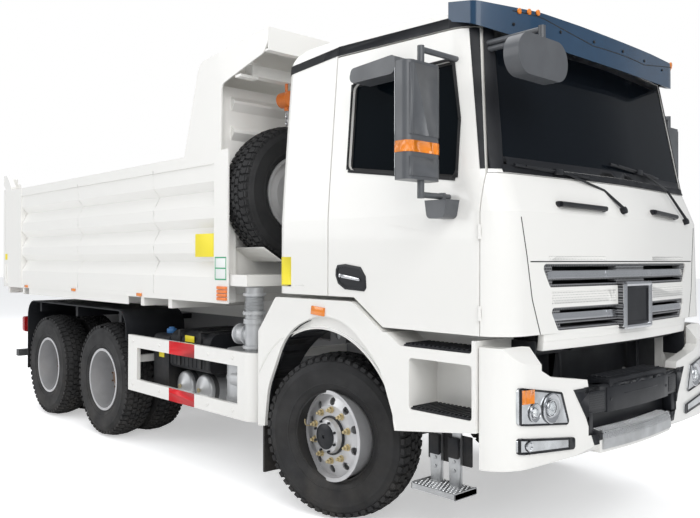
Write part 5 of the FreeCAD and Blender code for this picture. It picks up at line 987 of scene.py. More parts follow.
class TRUCK_OT_doors(bpy.types.Operator):
    """Door window seals, handles and a swage line"""
    bl_idname = "truck.doors"
    bl_label = "Doors"

    def execute(self, context):
        for side, sign in SIDES:
            door, out = "door_" + side, (0, sign, 0)
            glass = "door_glass_" + side
            strips = []
            frame_lines = (((ahead(255), 2.815), (ahead(255), 2.27)),
                           ((ahead(255), 2.268), (ahead(1118), 2.15)),
                           ((ahead(1118), 2.15), (ahead(1118), 2.47)),
                           ((ahead(1118), 2.47), (ahead(1052), 2.815)),
                           ((ahead(255), 2.812), (ahead(1052), 2.812)))
            for start, end in frame_lines:
                strips.append(skin("seal", door, band("XZ", start, end, 0.034), out, 0.004))
            add("window_seal_" + side, strips, "Seal rubber", door)
            inner = [skin("inner_seal", glass, band("XZ", start, end, 0.030), out, 0.003) for start,
                     end in frame_lines]
            add("glass_edge_" + side, inner, "Seal rubber", door)
            # recessed handle: a dark cup with a silver grip
            x, z = ahead(306), 1.590
            y = touch(door, (x, sign * 1.5, z), (0, -sign, 0)).y
            cup = [(x - 0.140, z + 0.050), (x - 0.125, z + 0.078), (x - 0.050, z + 0.085),
                   (x + 0.085, z + 0.068), (x + 0.130, z + 0.010), (x + 0.135, z - 0.060),
                   (x + 0.118, z - 0.082), (x - 0.055, z - 0.074), (x - 0.118, z - 0.040),
                   (x - 0.142, z + 0.010)]
            rim = plate("handle_cup_" + side, "XZ", cup, y - sign * 0.001, y + sign * 0.005, 0.002)
            edit(rim)
            choose(rim, "faces", lambda face: face.normal.y * sign > 0.9 and face.calc_area() > 0.01)
            bpy.ops.mesh.inset(thickness=0.016)
            bpy.ops.mesh.extrude_region_move(TRANSFORM_OT_translate={"value": (0, -sign * 0.0035, 0)})
            leave()
            give(rim, "Smooth black", door)
            grip = plate("handle_grip_" + side, "XZ", [(x - 0.085, z + 0.010), (x - 0.080, z + 0.022),
                                                       (x + 0.080, z - 0.002), (x + 0.088, z - 0.014),
                                                       (x + 0.080, z - 0.020), (x - 0.080, z - 0.002)],
                         y + sign * 0.003, y + sign * 0.013, 0.003)
            give(grip, "Bright metal", door)
            lock = bar("handle_lock_" + side, (x - 0.100, y, z + 0.012),
                       (x - 0.100, y + sign * 0.008, z + 0.012), 0.012, 16, 0.002)
            give(lock, "Bright metal", door)
            swage = skin("door_swage_" + side, door, band("XZ", (ahead(640), 1.905), (ahead(1020), 1.84),
                                                          0.008), out, 0.0015)
            give(swage, "White paint", door)
        return {"FINISHED"}


class TRUCK_OT_cab_trim(bpy.types.Operator):
    """Pillar covers, the band over the doors, labels and the cab's side details"""
    bl_idname = "truck.cab_trim"
    bl_label = "Cab trim"

    def execute(self, context):
        for side, sign in SIDES:
            out = (0, sign, 0)
            parts = [skin("band_rear", "cab_shell", band("XZ", (ahead(-425), 3.022), (ahead(96), 3.062),
                                                         0.056), out, 0.004, 0.2),
                     skin("band_front", "cab_shell", band("XZ", (ahead(90), 3.062), (ahead(1195), 3.025),
                                                          0.060), out, 0.004, 0.2)]
            add("roof_band_" + side, parts, "Black plastic", "cab")
            # dark cover from the door's edge round the corner to the windscreen
            lean = Vector((-0.988, 0, -0.157))
            cover = [(Vector((ahead(1150), 0, 2.862)), lean), (Vector((0, 0, 2.19)), -UP),
                     (Vector((0, 0, 3.005)), UP)]
            pillar = skin("pillar_" + side, "cab_shell",
                          cover + [(Vector((0, sign * 0.9, 0)), Vector((0, -sign, 0)))],
                          (0.7, sign * 0.7, 0), 0.004, 0.1)
            give(pillar, "Black plastic", "cab")
            leaf = skin("door_pillar_" + side, "door_" + side, cover, (0.2, sign, 0), 0.004, 0.3)
            give(leaf, "Black plastic", "door_" + side)
            gutter = skin("rear_corner_" + side, "cab_shell",
                          band("XZ", (ahead(-300), 1.52), (ahead(-300), 1.53), 0.3), out, 0.0015)
            give(gutter, "White paint", "cab")
        # blank yellow label on the right rear corner
        label = skin("cab_label", "cab_shell", window((ahead(-430), ahead(-290)), (-2, 0), (1.52, 1.72)),
                     (0, -1, 0), 0.0015, 0.3)
        give(label, "Yellow label", "cab")
        # dark edge round the windscreen, over the glass
        lines = (((-1.11, 2.222), (1.11, 2.222), 0.075), ((-1.02, 2.975), (1.02, 2.975), 0.09),
                 ((-1.115, 2.19), (-1.03, 3.0), 0.07), ((1.115, 2.19), (1.03, 3.0), 0.07))
        rim = [skin("frit", "windscreen", band("YZ", start, end, width), (1, 0, 0), 0.002) for start, end,
               width in lines]
        add("screen_edge", rim, "Smooth black", "cab")
        cowl = skin("cowl_strip", "cab_shell", window((3.2, 4), (-1.10, 1.10), (2.172, 2.212)), (1, 0, 0.3),
                    0.006)
        give(cowl, "Black plastic", "cab")
        return {"FINISHED"}


class TRUCK_OT_wipers(bpy.types.Operator):
    """Two long wipers with their arms and pivots, parked on the windscreen"""
    bl_idname = "truck.wipers"
    bl_label = "Wipers"

    def execute(self, context):
        for number, (pivot, elbow, first, last) in enumerate((
                ((-0.077, 1.976), (-0.197, 2.123), (-0.338, 2.19), (-1.02, 2.215)),
                ((0.899, 1.944), (0.741, 2.182), (0.62, 2.255), (-0.085, 2.295)))):
            base = touch("front_panel", (AHEAD, pivot[0], pivot[1] + 0.022), (-1, 0, 0))
            glass = [Vector((touch_screen(y, max(z, 2.235)) + 0.030, y, z)) for y, z in (elbow, first, last)]
            middle = glass[1].lerp(glass[2], 0.45)
            parts = [bar("pivot", base + Vector((-0.01, 0, 0)), base + Vector((0.028, 0, 0.01)), 0.022, 20,
                         0.004), bar("arm", base + Vector((0.022, 0, 0.008)),
                                     glass[0] + Vector((0.012, 0, 0)), 0.011, 8, 0.003, 0.008),
                     bar("arm", glass[0] + Vector((0.012, 0, 0)), middle + Vector((0.010, 0, 0.012)), 0.008,
                         8, 0.002, 0.006)]
            blade = [glass[1].lerp(glass[2], step / 8) + Vector((-0.004, 0, 0)) for step in range(9)]
            parts.append(pipe("blade", blade, 0.009, 8))
            parts.append(pipe("spine", [spot + Vector((0.012, 0, 0.004)) for spot in blade[1:-1]], 0.005, 8))
            parts.append(box("clip", middle - Vector((0.010, 0.035, 0.014)),
                             middle + Vector((0.018, 0.035, 0.018)), 0.004))
            add("wiper_%d" % number, parts, "Smooth black", "cab")
        return {"FINISHED"}


def touch_screen(across, up):
    """The x of the windscreen's outer face at a place across the truck."""
    return touch("windscreen", (AHEAD, across, up), (-1, 0, 0)).x


def front_line(name, node, points, radius, lift=0.0):
    """A tube laid on a node's front face through points given as (y, z)."""
    spots = []
    for y, z in points:
        found = [NODES[node].ray_cast(Vector((AHEAD, y, z + step * 0.004)), Vector((-1, 0, 0)))
                 for step in range(-8, 9)]
        spots.append(Vector((max(place.x for hit, place, _, _ in found if hit) + lift, y, z)))
    return pipe(name, spots, radius, 8)


class TRUCK_OT_hood(bpy.types.Operator):
    """The front panel's seam, handles, grille bars and centre plate"""
    bl_idname = "truck.hood"
    bl_label = "Front panel"

    def execute(self, context):
        front = (1, 0, 0)
        # seam where the service flap meets the lower panel, and the dark line above the flap
        seam = context.scene.truck_sizes.seam
        side_lines = [((-1.070, 1.930), (-1.029, 1.723)), ((-1.029, 1.723), (-0.993, 1.491)),
                      ((-0.993, 1.491), (-0.930, 1.302))]
        lines = [skin("seam", "front_panel", band("YZ", (sign * start[0], start[1]),
                                                  (sign * end[0], end[1]), seam), front, 0.0012, 0.2)
                 for sign in (-1, 1) for start, end in side_lines]
        lines.append(skin("seam", "front_panel", band("YZ", (-1.0, 1.693), (1.0, 1.693), seam), front,
                          0.0012, 0.2))
        add("flap_seams", lines, "Seal rubber", "cab")
        grips = []
        for start, end in (((-0.724, 2.014), (-0.295, 2.003)), ((0.352, 2.013), (0.717, 1.995))):
            low = front_line("grip", "front_panel",
                             [start, ((start[0] + end[0]) / 2, (start[1] + end[1]) / 2), end], 0.016, 0.012)
            grips.append(low)
            for y, z in (start, end):
                foot = touch("front_panel", (AHEAD, y, z), (-1, 0, 0))
                grips.append(bar("foot", foot - Vector((0.005, 0, 0)), foot + Vector((0.022, 0, 0)), 0.017,
                                 16, 0.004))
        add("flap_handles", grips, "Smooth black", "cab")
        # flat bright bars along the grille rows
        ends = [sign * (0.30 + 0.08 * step) for sign in (-1, 1) for step in range(7)]
        upper, lower = bow("grille", 1.620, ends, 0.03), bow("grille", 1.388, ends, 0.03)
        near = [0.05 * step for step in range(-5, 6)]
        middle, below = bow("grille", 1.620, near, 0.03), bow("grille", 1.388,
                                                              [y for y in near if abs(y) > 0.17], 0.03)
        bars = [curved("bar", shape, reach, (low, low + 0.042), 0.016, 0.008, 0.006) for shape, reach,
                low in ((upper, (-0.845, 0.845), 1.600), (lower, (-0.835, -0.175), 1.368),
                        (lower, (0.175, 0.835), 1.368), (middle, (-0.29, 0.29), 1.600),
                        (below, (-0.29, -0.175), 1.368), (below, (0.175, 0.29), 1.368))]
        add("grille_bars", bars, "Bright metal", "cab")
        # bare centre plate in a bright frame
        x = touch("grille", (AHEAD, 0, 1.43), (-1, 0, 0)).x
        edge = [(-0.160, 1.302), (-0.160, 1.558), (0.160, 1.558), (0.160, 1.302)]
        sides = [pipe("edge", [(x + 0.004, *first), (x + 0.004, *second)], 0.016, 10, smooth=False)
                 for first, second in zip(edge, edge[1:] + edge[:1])]
        add("centre_frame", sides, "Bright metal", "cab")
        panel = plate("centre_plate", "YZ", [(-0.152, 1.310), (0.152, 1.310), (0.152, 1.550),
                                             (-0.152, 1.550)], x - 0.004, x + 0.005, 0.004)
        edit(panel)
        choose(panel, "faces", lambda face: face.normal.x > 0.9 and face.calc_area() > 0.03)
        bpy.ops.mesh.inset(thickness=0.018)
        bpy.ops.mesh.extrude_region_move(TRANSFORM_OT_translate={"value": (-0.004, 0, 0)})
        leave()
        give(panel, "Smooth black", "cab")
        dots = [skin("dots", "front_panel", window((3, 4.2), limits, (1.700, 1.724)), front, 0.002, 0.2)
                for limits in ((-0.84, -0.30), (0.30, 0.84))]
        dots += [skin("dots", "front_panel", window((3, 4.2), limits, (1.462, 1.530)), front, 0.002, 0.2)
                 for limits in ((-0.82, -0.20), (0.20, 0.82))]
        add("dotted_zones", dots, "Dotted white", "cab")
        # lower lip under the panel, following its face, with a crease
        shape = bow("front_panel", 1.306, [sign * (0.20 + 0.10 * step) for sign in (-1, 1)
                                           for step in range(7)])
        lip = curved("front_lip", (shape[0] - 0.012, shape[1]), (-0.885, 0.885), (1.207, 1.303), 0.040, 0.0,
                     -0.012, 0.006)
        give(lip, "White paint", "cab")
        crease = curved("front_crease", (shape[0] - 0.003, shape[1]), (-0.885, 0.885), (1.258, 1.262),
                        0.010, 0.0, 0.0, 0.001)
        give(crease, "White paint", "cab")
        return {"FINISHED"}


class TRUCK_OT_visor(bpy.types.Operator):
    """The sun visor's marker lamps, seam and fixings"""
    bl_idname = "truck.visor"
    bl_label = "Sun visor"

    def execute(self, context):
        white, amber, bolts = [], [], []
        for side in (-1, 1):
            for index in range(3):
                y = side * (0.93 - 0.050 * index)
                spot = touch("visor", (AHEAD, y, 3.075), (-1, 0, 0))
                amber.append(bar("lamp", spot - Vector((0.004, 0, 0)), spot + Vector((0.007, 0, 0)), 0.017,
                                 20, 0.003))
            for index in range(4):
                spot = touch("visor", (AHEAD, side * (0.76 - 0.040 * index), 3.085), (-1, 0, 0))
                white.append(bar("lamp", spot - Vector((0.004, 0, 0)), spot + Vector((0.006, 0, 0)), 0.011,
                                 16, 0.002))
        for index in range(7):
            y = -0.96 + 0.32 * index
            spot = touch("visor", (AHEAD, y, 3.000), (-1, 0, 0))
            bolts.append(bar("bolt", spot - Vector((0.004, 0, 0)), spot + Vector((0.006, 0, 0)), 0.009, 12,
                             0.002))
        add("visor_marker_lamps", amber, "Amber lens", "cab", "red_lamp")
        add("visor_white_lamps", white, "Clear lens", "cab")
        add("visor_bolts", bolts, "Smooth black", "cab")
        lines = [skin("visor_seam", "visor", band("YZ", start, end, 0.005), (1, 0, 0.2), 0.001, 0.2)
                 for start, end in (((-0.965, 3.075), (-0.32, 2.975)), ((-0.32, 2.975), (0.32, 2.975)),
                                    ((0.32, 2.975), (0.965, 3.075)))]
        add("visor_seams", lines, "Seal rubber", "cab")
        return {"FINISHED"}


def frame_strips(name, node, corners, width, facing, proud, lean=0.2):
    """Skins along every edge of an outline in front view."""
    return [skin(name, node, band("YZ", first, second, width), facing, proud, lean)
            for first, second in zip(corners, corners[1:] + corners[:1])]


def lamp_corners(sign, inset):
    """A headlamp's outline in front view."""
    return [(sign * (0.745 + inset), 0.804 + inset), (sign * (1.150 - inset), 0.846 + inset),
            (sign * (1.150 - inset), 1.043 - inset), (sign * (0.812 + inset), 0.988 - inset)]


class TRUCK_OT_lamps(bpy.types.Operator):
    """Headlamps with projectors and indicators, fog lamps, side markers and rear lamps"""
    bl_idname = "truck.lamps"
    bl_label = "Lamps"

    def execute(self, context):
        for side, sign in SIDES:
            front = (1, sign * 0.5, 0)
            edge = frame_strips("lamp_edge", "headlamps", lamp_corners(sign, 0.005), 0.012, front, 0.003)
            add("lamp_edges_" + side, edge, "Smooth black", "chassis")
            rims = []
            for y, z, radius in ((0.905, 0.912, 0.074), (1.045, 0.905, 0.046)):
                face = touch("headlamps", (AHEAD, sign * y, z), (-1, 0, 0))
                rims.append(ring("rim", [(0.0005, radius * 0.70), (0.0005, radius * 1.10),
                                         (0.006, radius * 1.10), (0.009, radius * 1.02),
                                         (0.005, radius * 0.92), (0.002, radius * 0.72)], face, "X", 36))
                rims.append(ring("ring", [(0.0008, radius * 0.52), (0.0008, radius * 0.62),
                                          (0.007, radius * 0.60), (0.007, radius * 0.54)], face, "X", 36))
                dome = ring("lens", [(0.0008, 0.002), (0.0008, radius * 0.50), (0.005, radius * 0.48),
                                     (0.013, radius * 0.30), (0.016, 0.002)], face, "X", 32)
                give(dome, "Lamp glass", "chassis")
                dome.name = "lamp_lens_%s_%d" % (side, round(y * 1000))
            add("lamp_rims_" + side, rims, "Bright metal", "chassis", "clear_lamp")
            amber = skin("indicator_" + side, "headlamps", window(None, (sign * 1.050, sign * 1.138),
                                                                  (0.955, 1.028)), front, 0.004, 0.2)
            give(amber, "Amber lens", "chassis")
            # fog lamp: a long strip with a round lamp at its outer end
            corners = [(sign * 0.706, 0.671), (sign * 1.150, 0.704), (sign * 1.150, 0.777),
                       (sign * 0.706, 0.724)]
            add("fog_edges_" + side, frame_strips("fog_edge", "headlamps", corners, 0.014, front, 0.003),
                "Smooth black", "chassis")
            dim = skin("fog_end_" + side, "headlamps", window(None, (sign * 0.70, sign * 0.752),
                                                              (0.66, 0.74)), front, 0.004)
            give(dim, "Smooth black", "chassis")
            face = touch("headlamps", (AHEAD, sign * 1.09, 0.735), (-1, 0, 0))
            give(ring("fog_rim_" + side, [(0.0005, 0.018), (0.0005, 0.028), (0.008, 0.027), (0.009, 0.022)],
                      face, "X", 28), "Bright metal", "chassis", "clear_lamp")
            # amber side marker over the wheel arch
            y = touch("fenders", (2.2, sign * 1.5, 1.375), (0, -sign, 0)).y
            marker = plate("side_marker_" + side, "XZ", [(2.132, 1.345), (2.262, 1.336), (2.266, 1.392),
                                                         (2.140, 1.402)], y - sign * 0.001,
                           y + sign * 0.012, 0.004)
            give(marker, "Amber lens", "chassis")
            # rear lamps: three round lenses on the lamp block
            for finish_name, y in (("Red lens", 1.115), ("Amber lens", 0.990), ("Clear lens", 0.865)):
                face = touch("rear_lamps", (-4.2, sign * y, 0.929), (1, 0, 0))
                lens = ring("rear_lens", [(0.001, 0.002), (0.001, 0.050), (-0.006, 0.049), (-0.012, 0.034),
                                          (-0.014, 0.002)], face, "X", 32)
                give(lens, finish_name, "chassis", "red_lamp")
                lens.name = "rear_lens_%s_%d" % (side, round(y * 1000))
        return {"FINISHED"}


def ridges(name, low, high, count, tall):
    """Narrow ridges across a tread, side by side along the truck."""
    low, high = Vector(low), Vector(high)
    pitch = (high.x - low.x) / count
    first = box("ridge", low, (low.x + pitch * 0.45, high.y, low.z + tall), 0.001, 1)
    parts = [again(first, "ridge", (pitch * index, 0, 0)) for index in range(1, count)]
    return weld(name, [first] + parts)


class TRUCK_OT_bumper(bpy.types.Operator):
    """The bumper's dark centre, vents, upper ridged step, chequer strip and inner panel"""
    bl_idname = "truck.bumper"
    bl_label = "Bumper"

    def execute(self, context):
        front = (1, 0, 0)
        dark = []
        for sign in (-1, 1):
            for first, second in (((sign * 0.700, 0.987), (sign * 0.585, 0.821)),
                                  ((sign * 0.585, 0.821), (sign * 0.505, 0.655))):
                lean = Vector((0, second[1] - first[1], first[0] - second[0])).normalized()
                lean = lean if lean.y * sign > 0 else -lean
                cuts = window((3, 4), None, (second[1], first[1])) + [(Vector((0, *first)), lean),
                                                                      (Vector((0, sign * 0.46, 0)),
                                                                       Vector((0, -sign, 0)))]
                dark.append(skin("centre", "bumper", cuts, front, 0.004, 0.3))
        dark.append(skin("centre", "bumper", window((3, 4), (-0.47, 0.47), (0.676, 0.718)), front, 0.004,
                         0.3))
        dark.append(skin("centre", "bumper", window((3, 4), (-0.60, 0.60), (0.955, 0.990)), front, 0.004,
                         0.3))
        for facing in ((0, 1, 0), (0, -1, 0), (0, 0, 1), (0, 0, -1)):
            dark.append(skin("reveal", "bumper", window((3.55, 3.80), (-0.60, 0.60), (0.700, 0.985)),
                             facing, 0.001, 0.6))
        add("bumper_centre", dark, "Smooth black", "chassis")
        shape = bow("bumper", 0.695, [sign * (0.10 + 0.10 * step) for sign in (-1, 1) for step in range(5)])
        middle = [curved("upper", shape, (-0.592, 0.592), (0.834, 0.985), 0.035, 0.002, 0.0, 0.006),
                  curved("middle", shape, (-0.392, 0.392), (0.828, 0.970), 0.035, 0.008, 0.0, 0.005),
                  curved("slot", shape, (-0.21, 0.21), (0.917, 0.923), 0.010, 0.010, 0.0, 0.001)]
        middle += [bar("bolt", (shape[0] + shape[1] * y * y, y, 0.90), (shape[0] + shape[1] * y * y + 0.011,
                                                                        y, 0.90), 0.009, 16, 0.002)
                   for y in (-0.355, 0.355)]
        middle += [plate("cheek", "XZ", [(3.645, 0.715), (shape[0] + shape[1] * 0.28 - 0.004, 0.715),
                                         (shape[0] + shape[1] * 0.28 - 0.008, 0.845), (3.645, 0.845)],
                         sign * 0.500, sign * 0.560, 0.005) for sign in (-1, 1)]
        middle += [box("back", (3.640, -0.559, 0.715), (3.648, 0.559, 0.960), 0.001),
                   box("roof", (3.642, -0.555, 0.836), (3.715, 0.555, 0.846), 0.002)]
        middle = weld("bumper_middle", middle)
        give(middle, "Smooth black", "chassis")
        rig.replaces(middle, "bumper_grille")
        vents = [curved("vent", shape, (sign * 0.412, sign * 0.585), (0.852, 0.948), 0.006, 0.0045, 0.0,
                        0.001) for sign in (-1, 1)]
        add("bumper_vents", vents, "Dark mesh", "chassis")
        # ridged black step on the bumper's middle
        base = box("step", (3.590, -0.365, 0.966), (3.736, 0.365, 1.014), 0.006)
        parts = [base] + [box("tooth", (3.600 + 0.030 * row, -0.345, 1.012),
                              (3.612 + 0.030 * row, 0.345, 1.022), 0.003, 1) for row in range(4)]
        add("upper_step", parts, "Black plastic", "chassis")
        # chequer strip over the lower step plate
        studs = []
        shape = bow("step_plate", 0.65, [sign * (0.06 + 0.07 * step) for sign in (-1, 1)
                                         for step in range(6)])
        studs += [curved("tread", shape, (-0.43, 0.43), (0.674, 0.721), 0.012, 0.0, 0.010, 0.002),
                  curved("tread", shape, (-0.43, 0.43), (0.715, 0.722), 0.095, -0.008, 0.0, 0.002)]
        flat = bar("stud", (0, 0, 0), (0, 0, 0.004), 0.009, 4, 0.001, 0.006)
        front_stud = bar("stud", (0, 0, 0), (0.004, 0, 0.001), 0.008, 4, 0.001, 0.0055)
        for row in range(7):
            for index in range(34):
                y = -0.415 + 0.025 * index + 0.0125 * (row % 2)
                x = shape[0] + shape[1] * y * y
                if row < 3:
                    studs.append(again(front_stud, "stud",
                                       (x - 0.0025 - 0.003 * row, y, 0.684 + 0.0135 * row)))
                else:
                    studs.append(again(flat, "stud", (x - 0.022 - 0.021 * (row - 3), y, 0.7215)))
        for model in (flat, front_stud):
            only(model)
            bpy.ops.object.delete()
        add("step_studs", studs, "Chequer metal", "chassis")
        # black panel between the cab's front and the bumper, carried by the cab
        parts = []
        for low, high in ((-0.86, -0.54), (-0.43, 0.43), (0.54, 0.86)):
            parts.append(plate("panel", "XZ", [(3.492, 1.302), (3.560, 1.302), (3.545, 1.180),
                                               (3.520, 1.165), (3.492, 1.165)], low, high, 0.005))
        add("under_panel", parts, "Black plastic", "cab")
        arms = [skin("arm", "cab_shell", window((3.42, 3.62), (sign * 0.44, sign * 0.53), (0.80, 1.295)),
                     lambda face: True, 0.001) for sign in (-1, 1)]
        add("arm_covers", arms, "Black plastic", "cab")
        back = [box("back", (3.395, low, 0.80), (3.404, high, 1.265), 0.002, 1) for low,
                high in ((-0.93, 0.93),)]
        back += [box("cheek", (3.396, sign * 0.925, 1.04), (3.610, sign * 0.935, 1.262), 0.003)
                 for sign in (-1, 1)]
        add("front_backing", back, "Black plastic", "chassis")
        return {"FINISHED"}


class TRUCK_OT_steps(bpy.types.Operator):
    """Serrated treads in the step boxes, hangers, brackets and chequered hanging steps"""
    bl_idname = "truck.steps"
    bl_label = "Steps"

    def execute(self, context):
        for side, sign in SIDES:
            black = []
            for z, rear in ((1.2055, 2.945), (0.8505, 3.000)):
                black.append(box("tread", (rear, sign * 1.03, z), (3.425, sign * 1.252, z + 0.012), 0.003))
                black.append(ridges("teeth", (rear + 0.01, sign * 1.04, z + 0.011),
                                    (3.42, sign * 1.248, 0), 14, 0.009))
            black.append(box("shield", (2.996, sign * 1.080, 0.550), (3.308, sign * 1.097, 0.716), 0.004))
            steel = []
            for x in (3.073, 3.210):
                black.append(box("arm", (x - 0.036, sign * 1.105, 0.590), (x + 0.036, sign * 1.140, 0.705),
                                 0.006))
                steel.append(plate("hanger", "XZ", [(x - 0.034, 0.430), (x + 0.034, 0.430),
                                                    (x + 0.042, 0.600), (x - 0.042, 0.600)], sign * 1.1130,
                                   sign * 1.1230, 0.001))
                for lift in (0.52, 0.57):
                    steel.append(bar("bolt", (x, sign * 1.119, lift), (x, sign * 1.130, lift), 0.010, 6,
                                     0.001))
            add("step_treads_" + side, black, "Black plastic", "chassis")
            first = bar("stud", (3.010, sign * 1.065, 0.4295), (3.010, sign * 1.065, 0.4345), 0.009, 4,
                        0.001, 0.006)
            steel.append(first)
            for row in range(7):
                for index in range(12):
                    if row or index:
                        steel.append(again(first, "stud", (0.025 * index + 0.0125 * (row % 2),
                                                           sign * 0.026 * row, 0)))
            for x in (2.993, 3.304):
                steel.append(box("lip", (x, sign * 1.05, 0.395), (x + 0.006, sign * 1.24, 0.437), 0.001, 1))
            add("step_studs_" + side, steel, "Chequer metal", "chassis")
            # dark mud flap, the arch's dark lining and its raised lip
            def inward(face):
                way = Vector((AXLE, 0, CROWN)) - face.calc_center_median()
                way.y = 0
                return 0.5 < way.length < 0.76 and face.normal.dot(way.normalized()) > 0.8
            reach = (sign * 0.90, sign * 1.235)
            lining = skin("arch_lining_" + side, "fenders", window((1.40, 2.96), reach, (0.56, 1.5)),
                          inward, 0.002)
            give(lining, "Black plastic", "chassis")
            flap = box("mud_flap_" + side, (1.529, sign * 0.977, 0.177), (1.549, sign * 1.203, 0.600), 0.003)
            give(flap, "Black plastic", "chassis")
            lip = []
            for step in range(29):
                angle = math.radians(8 + 5.5 * step)
                spot = Vector((AXLE + 0.722 * math.cos(angle), sign * 1.6, CROWN + 0.722 * math.sin(angle)))
                found, place, _, _ = NODES["fenders"].ray_cast(spot, Vector((0, -sign, 0)))
                if found and abs(place.y) > 1.18:
                    lip.append(place)
            give(pipe("arch_lip_" + side, lip, 0.007, 8), "White paint", "chassis")
        return {"FINISHED"}


class TRUCK_OT_guards(bpy.types.Operator):
    """Red bands and fixings on the side guards"""
    bl_idname = "truck.guards"
    bl_label = "Side guards"

    def execute(self, context):
        for side, sign in SIDES:
            out = (0, sign, 0)
            red = [skin("band", "side_guards", window((0.266, 0.664), (0, sign * 2), limits), out, 0.0015)
                   for limits in ((0.905, 1.03), (0.50, 0.63))]
            add("red_bands_" + side, red, "Red band", "chassis")
            bolts = []
            for x in (-0.38, 0.10, 0.86, 1.20):
                for z in (0.571, 0.964):
                    hit = NODES["side_guards"].ray_cast(Vector((x, sign * 1.6, z)), Vector((0, -sign, 0)))
                    if hit[0]:
                        bolts.append(bar("bolt", hit[1] - Vector(out) * 0.002, hit[1] + Vector(out) * 0.006,
                                         0.012, 12, 0.002))
            add("guard_bolts_" + side, bolts, "White paint", "chassis")
        return {"FINISHED"}


class TRUCK_OT_tanks(bpy.types.Operator):
    """Straps, caps, drains and labels of the tanks and boxes"""
    bl_idname = "truck.tanks"
    bl_label = "Tanks and boxes"

    def execute(self, context):
        for number, x in enumerate((0.475, 0.175)):
            bands = [ring("strap", [(-0.020, 0.1245), (-0.020, 0.1285), (0.020, 0.1285), (0.020, 0.1245)],
                          (x, y, 0.610), "Y", 40) for y in (-0.98, -0.66)]
            bands.append(ring("seam", [(-0.004, 0.120), (-0.004, 0.1272), (0.004, 0.1272), (0.004, 0.120)],
                              (x, -0.80, 0.610), "Y", 40))
            add("air_tank_straps_%d" % number, bands, "Chassis paint", "chassis")
            parts = [bar("boss", (x, -1.079, 0.610), (x, -1.092, 0.610), 0.020, 16, 0.003),
                     bar("drain", (x, -0.80, 0.492), (x, -0.80, 0.470), 0.010, 12, 0.002)]
            add("air_tank_fittings_%d" % number, parts, "Brass", "chassis", "silver_tank")
        # battery cover: ribs and straps, with its blank label
        ribs = [box("rib", (0.100 + 0.064 * index, -1.124, 0.80), (0.118 + 0.064 * index, -1.116, 1.00),
                    0.003, 1) for index in range(10)]
        ribs += [box("rib", (0.100 + 0.064 * index, -1.02, 1.088), (0.118 + 0.064 * index, -0.55, 1.095),
                     0.003, 1) for index in range(10)]
        add("battery_ribs", ribs, "Black plastic", "chassis")
        straps = [box("strap", (x, -1.130, 0.80), (x + 0.036, -1.120, 1.092), 0.003, 1)
                  for x in (0.215, 0.545)]
        straps += [box("strap", (x, -1.130, 1.086), (x + 0.036, -0.53, 1.101), 0.003, 1)
                   for x in (0.215, 0.545)]
        add("battery_straps", straps, "Seal rubber", "chassis")
        give(box("battery_label", (0.330, -1.129, 1.010), (0.470, -1.1225, 1.062), 0.001), "Yellow label",
             "chassis")
        give(box("additive_label", (-0.116, -1.1245, 0.840), (-0.030, -1.1175, 0.884), 0.001),
             "Yellow label", "chassis")
        cap = [bar("cap", (-0.145, -0.98, 1.038), (-0.145, -0.98, 1.078), 0.045, 24, 0.006),
               bar("grip", (-0.145, -0.98, 1.076), (-0.145, -0.98, 1.092), 0.028, 8, 0.004)]
        add("additive_cap", cap, "Blue cap", "chassis")
        hose = pipe("battery_hose", [(0.60, -0.80, 1.088), (0.66, -0.80, 1.128), (0.80, -0.74, 1.138),
                                     (0.93, -0.60, 1.120), (1.00, -0.50, 1.080)], 0.016, 10)
        give(hose, "Seal rubber", "chassis")
        # fuel tank: straps and cap
        low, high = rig.box("fuel_tank")
        straps = []
        for x in (low.x + 0.30, high.x - 0.30):
            y = high.y
            straps.append(pipe("strap", [(x, 0.46, high.z + 0.003), (x, y - 0.11, high.z + 0.003),
                                         (x, y - 0.03, high.z - 0.03), (x, y + 0.003, high.z - 0.11),
                                         (x, y + 0.003, low.z + 0.09), (x, y - 0.03, low.z + 0.02),
                                         (x, y - 0.10, low.z - 0.003), (x, 0.46, low.z - 0.003)], 0.010, 8))
        add("fuel_straps", straps, "Chassis paint", "chassis")
        x = (low.x + high.x) / 2 + 0.25
        cap = [bar("neck", (x, high.y - 0.10, high.z - 0.03), (x, high.y - 0.07, high.z + 0.022), 0.045, 24,
                   0.004), bar("cap", (x, high.y - 0.072, high.z + 0.018),
                               (x, high.y - 0.060, high.z + 0.040), 0.052, 12, 0.005)]
        add("fuel_cap", cap, "Smooth black", "chassis", "silver_tank")
        return {"FINISHED"}


class TRUCK_OT_exhaust(bpy.types.Operator):
    """Muffler bands, flanges and the bellows of the stack that warms the bed"""
    bl_idname = "truck.exhaust"
    bl_label = "Exhaust"

    def execute(self, context):
        drum, stack = (1.035, -0.95), (1.280, -1.10)
        parts = [ring("band", [(-0.014, 0.1885), (-0.014, 0.1945), (0.014, 0.1945), (0.014, 0.1885)],
                      (*drum, z), "Z", 48) for z in (0.62, 0.78, 0.94)]
        for z in (1.045, 1.30, 1.44):
            parts.append(ring("flange", [(-0.010, 0.066), (-0.010, 0.088), (0.010, 0.088), (0.010, 0.066)],
                              (*stack, z), "Z", 36))
        for index in range(9):
            z = 1.325 + 0.0115 * index
            parts.append(ring("fold", [(-0.004, 0.067), (0.0, 0.078), (0.004, 0.067)], (*stack, z), "Z", 32))
        for x in (1.105, 1.205):
            parts.append(ring("flange", [(-0.008, 0.060), (-0.008, 0.080), (0.008, 0.080), (0.008, 0.060)],
                              (x, -1.10, 1.130), "X", 36))
        for index in range(6):
            angle = math.tau * index / 6
            spot = Vector((stack[0] + 0.078 * math.cos(angle), stack[1] + 0.078 * math.sin(angle), 1.3))
            parts.append(bar("bolt", spot - UP * 0.017, spot + UP * 0.017, 0.006, 6, 0.001))
        add("exhaust_bands", parts, "Tank silver", "chassis")
        return {"FINISHED"}


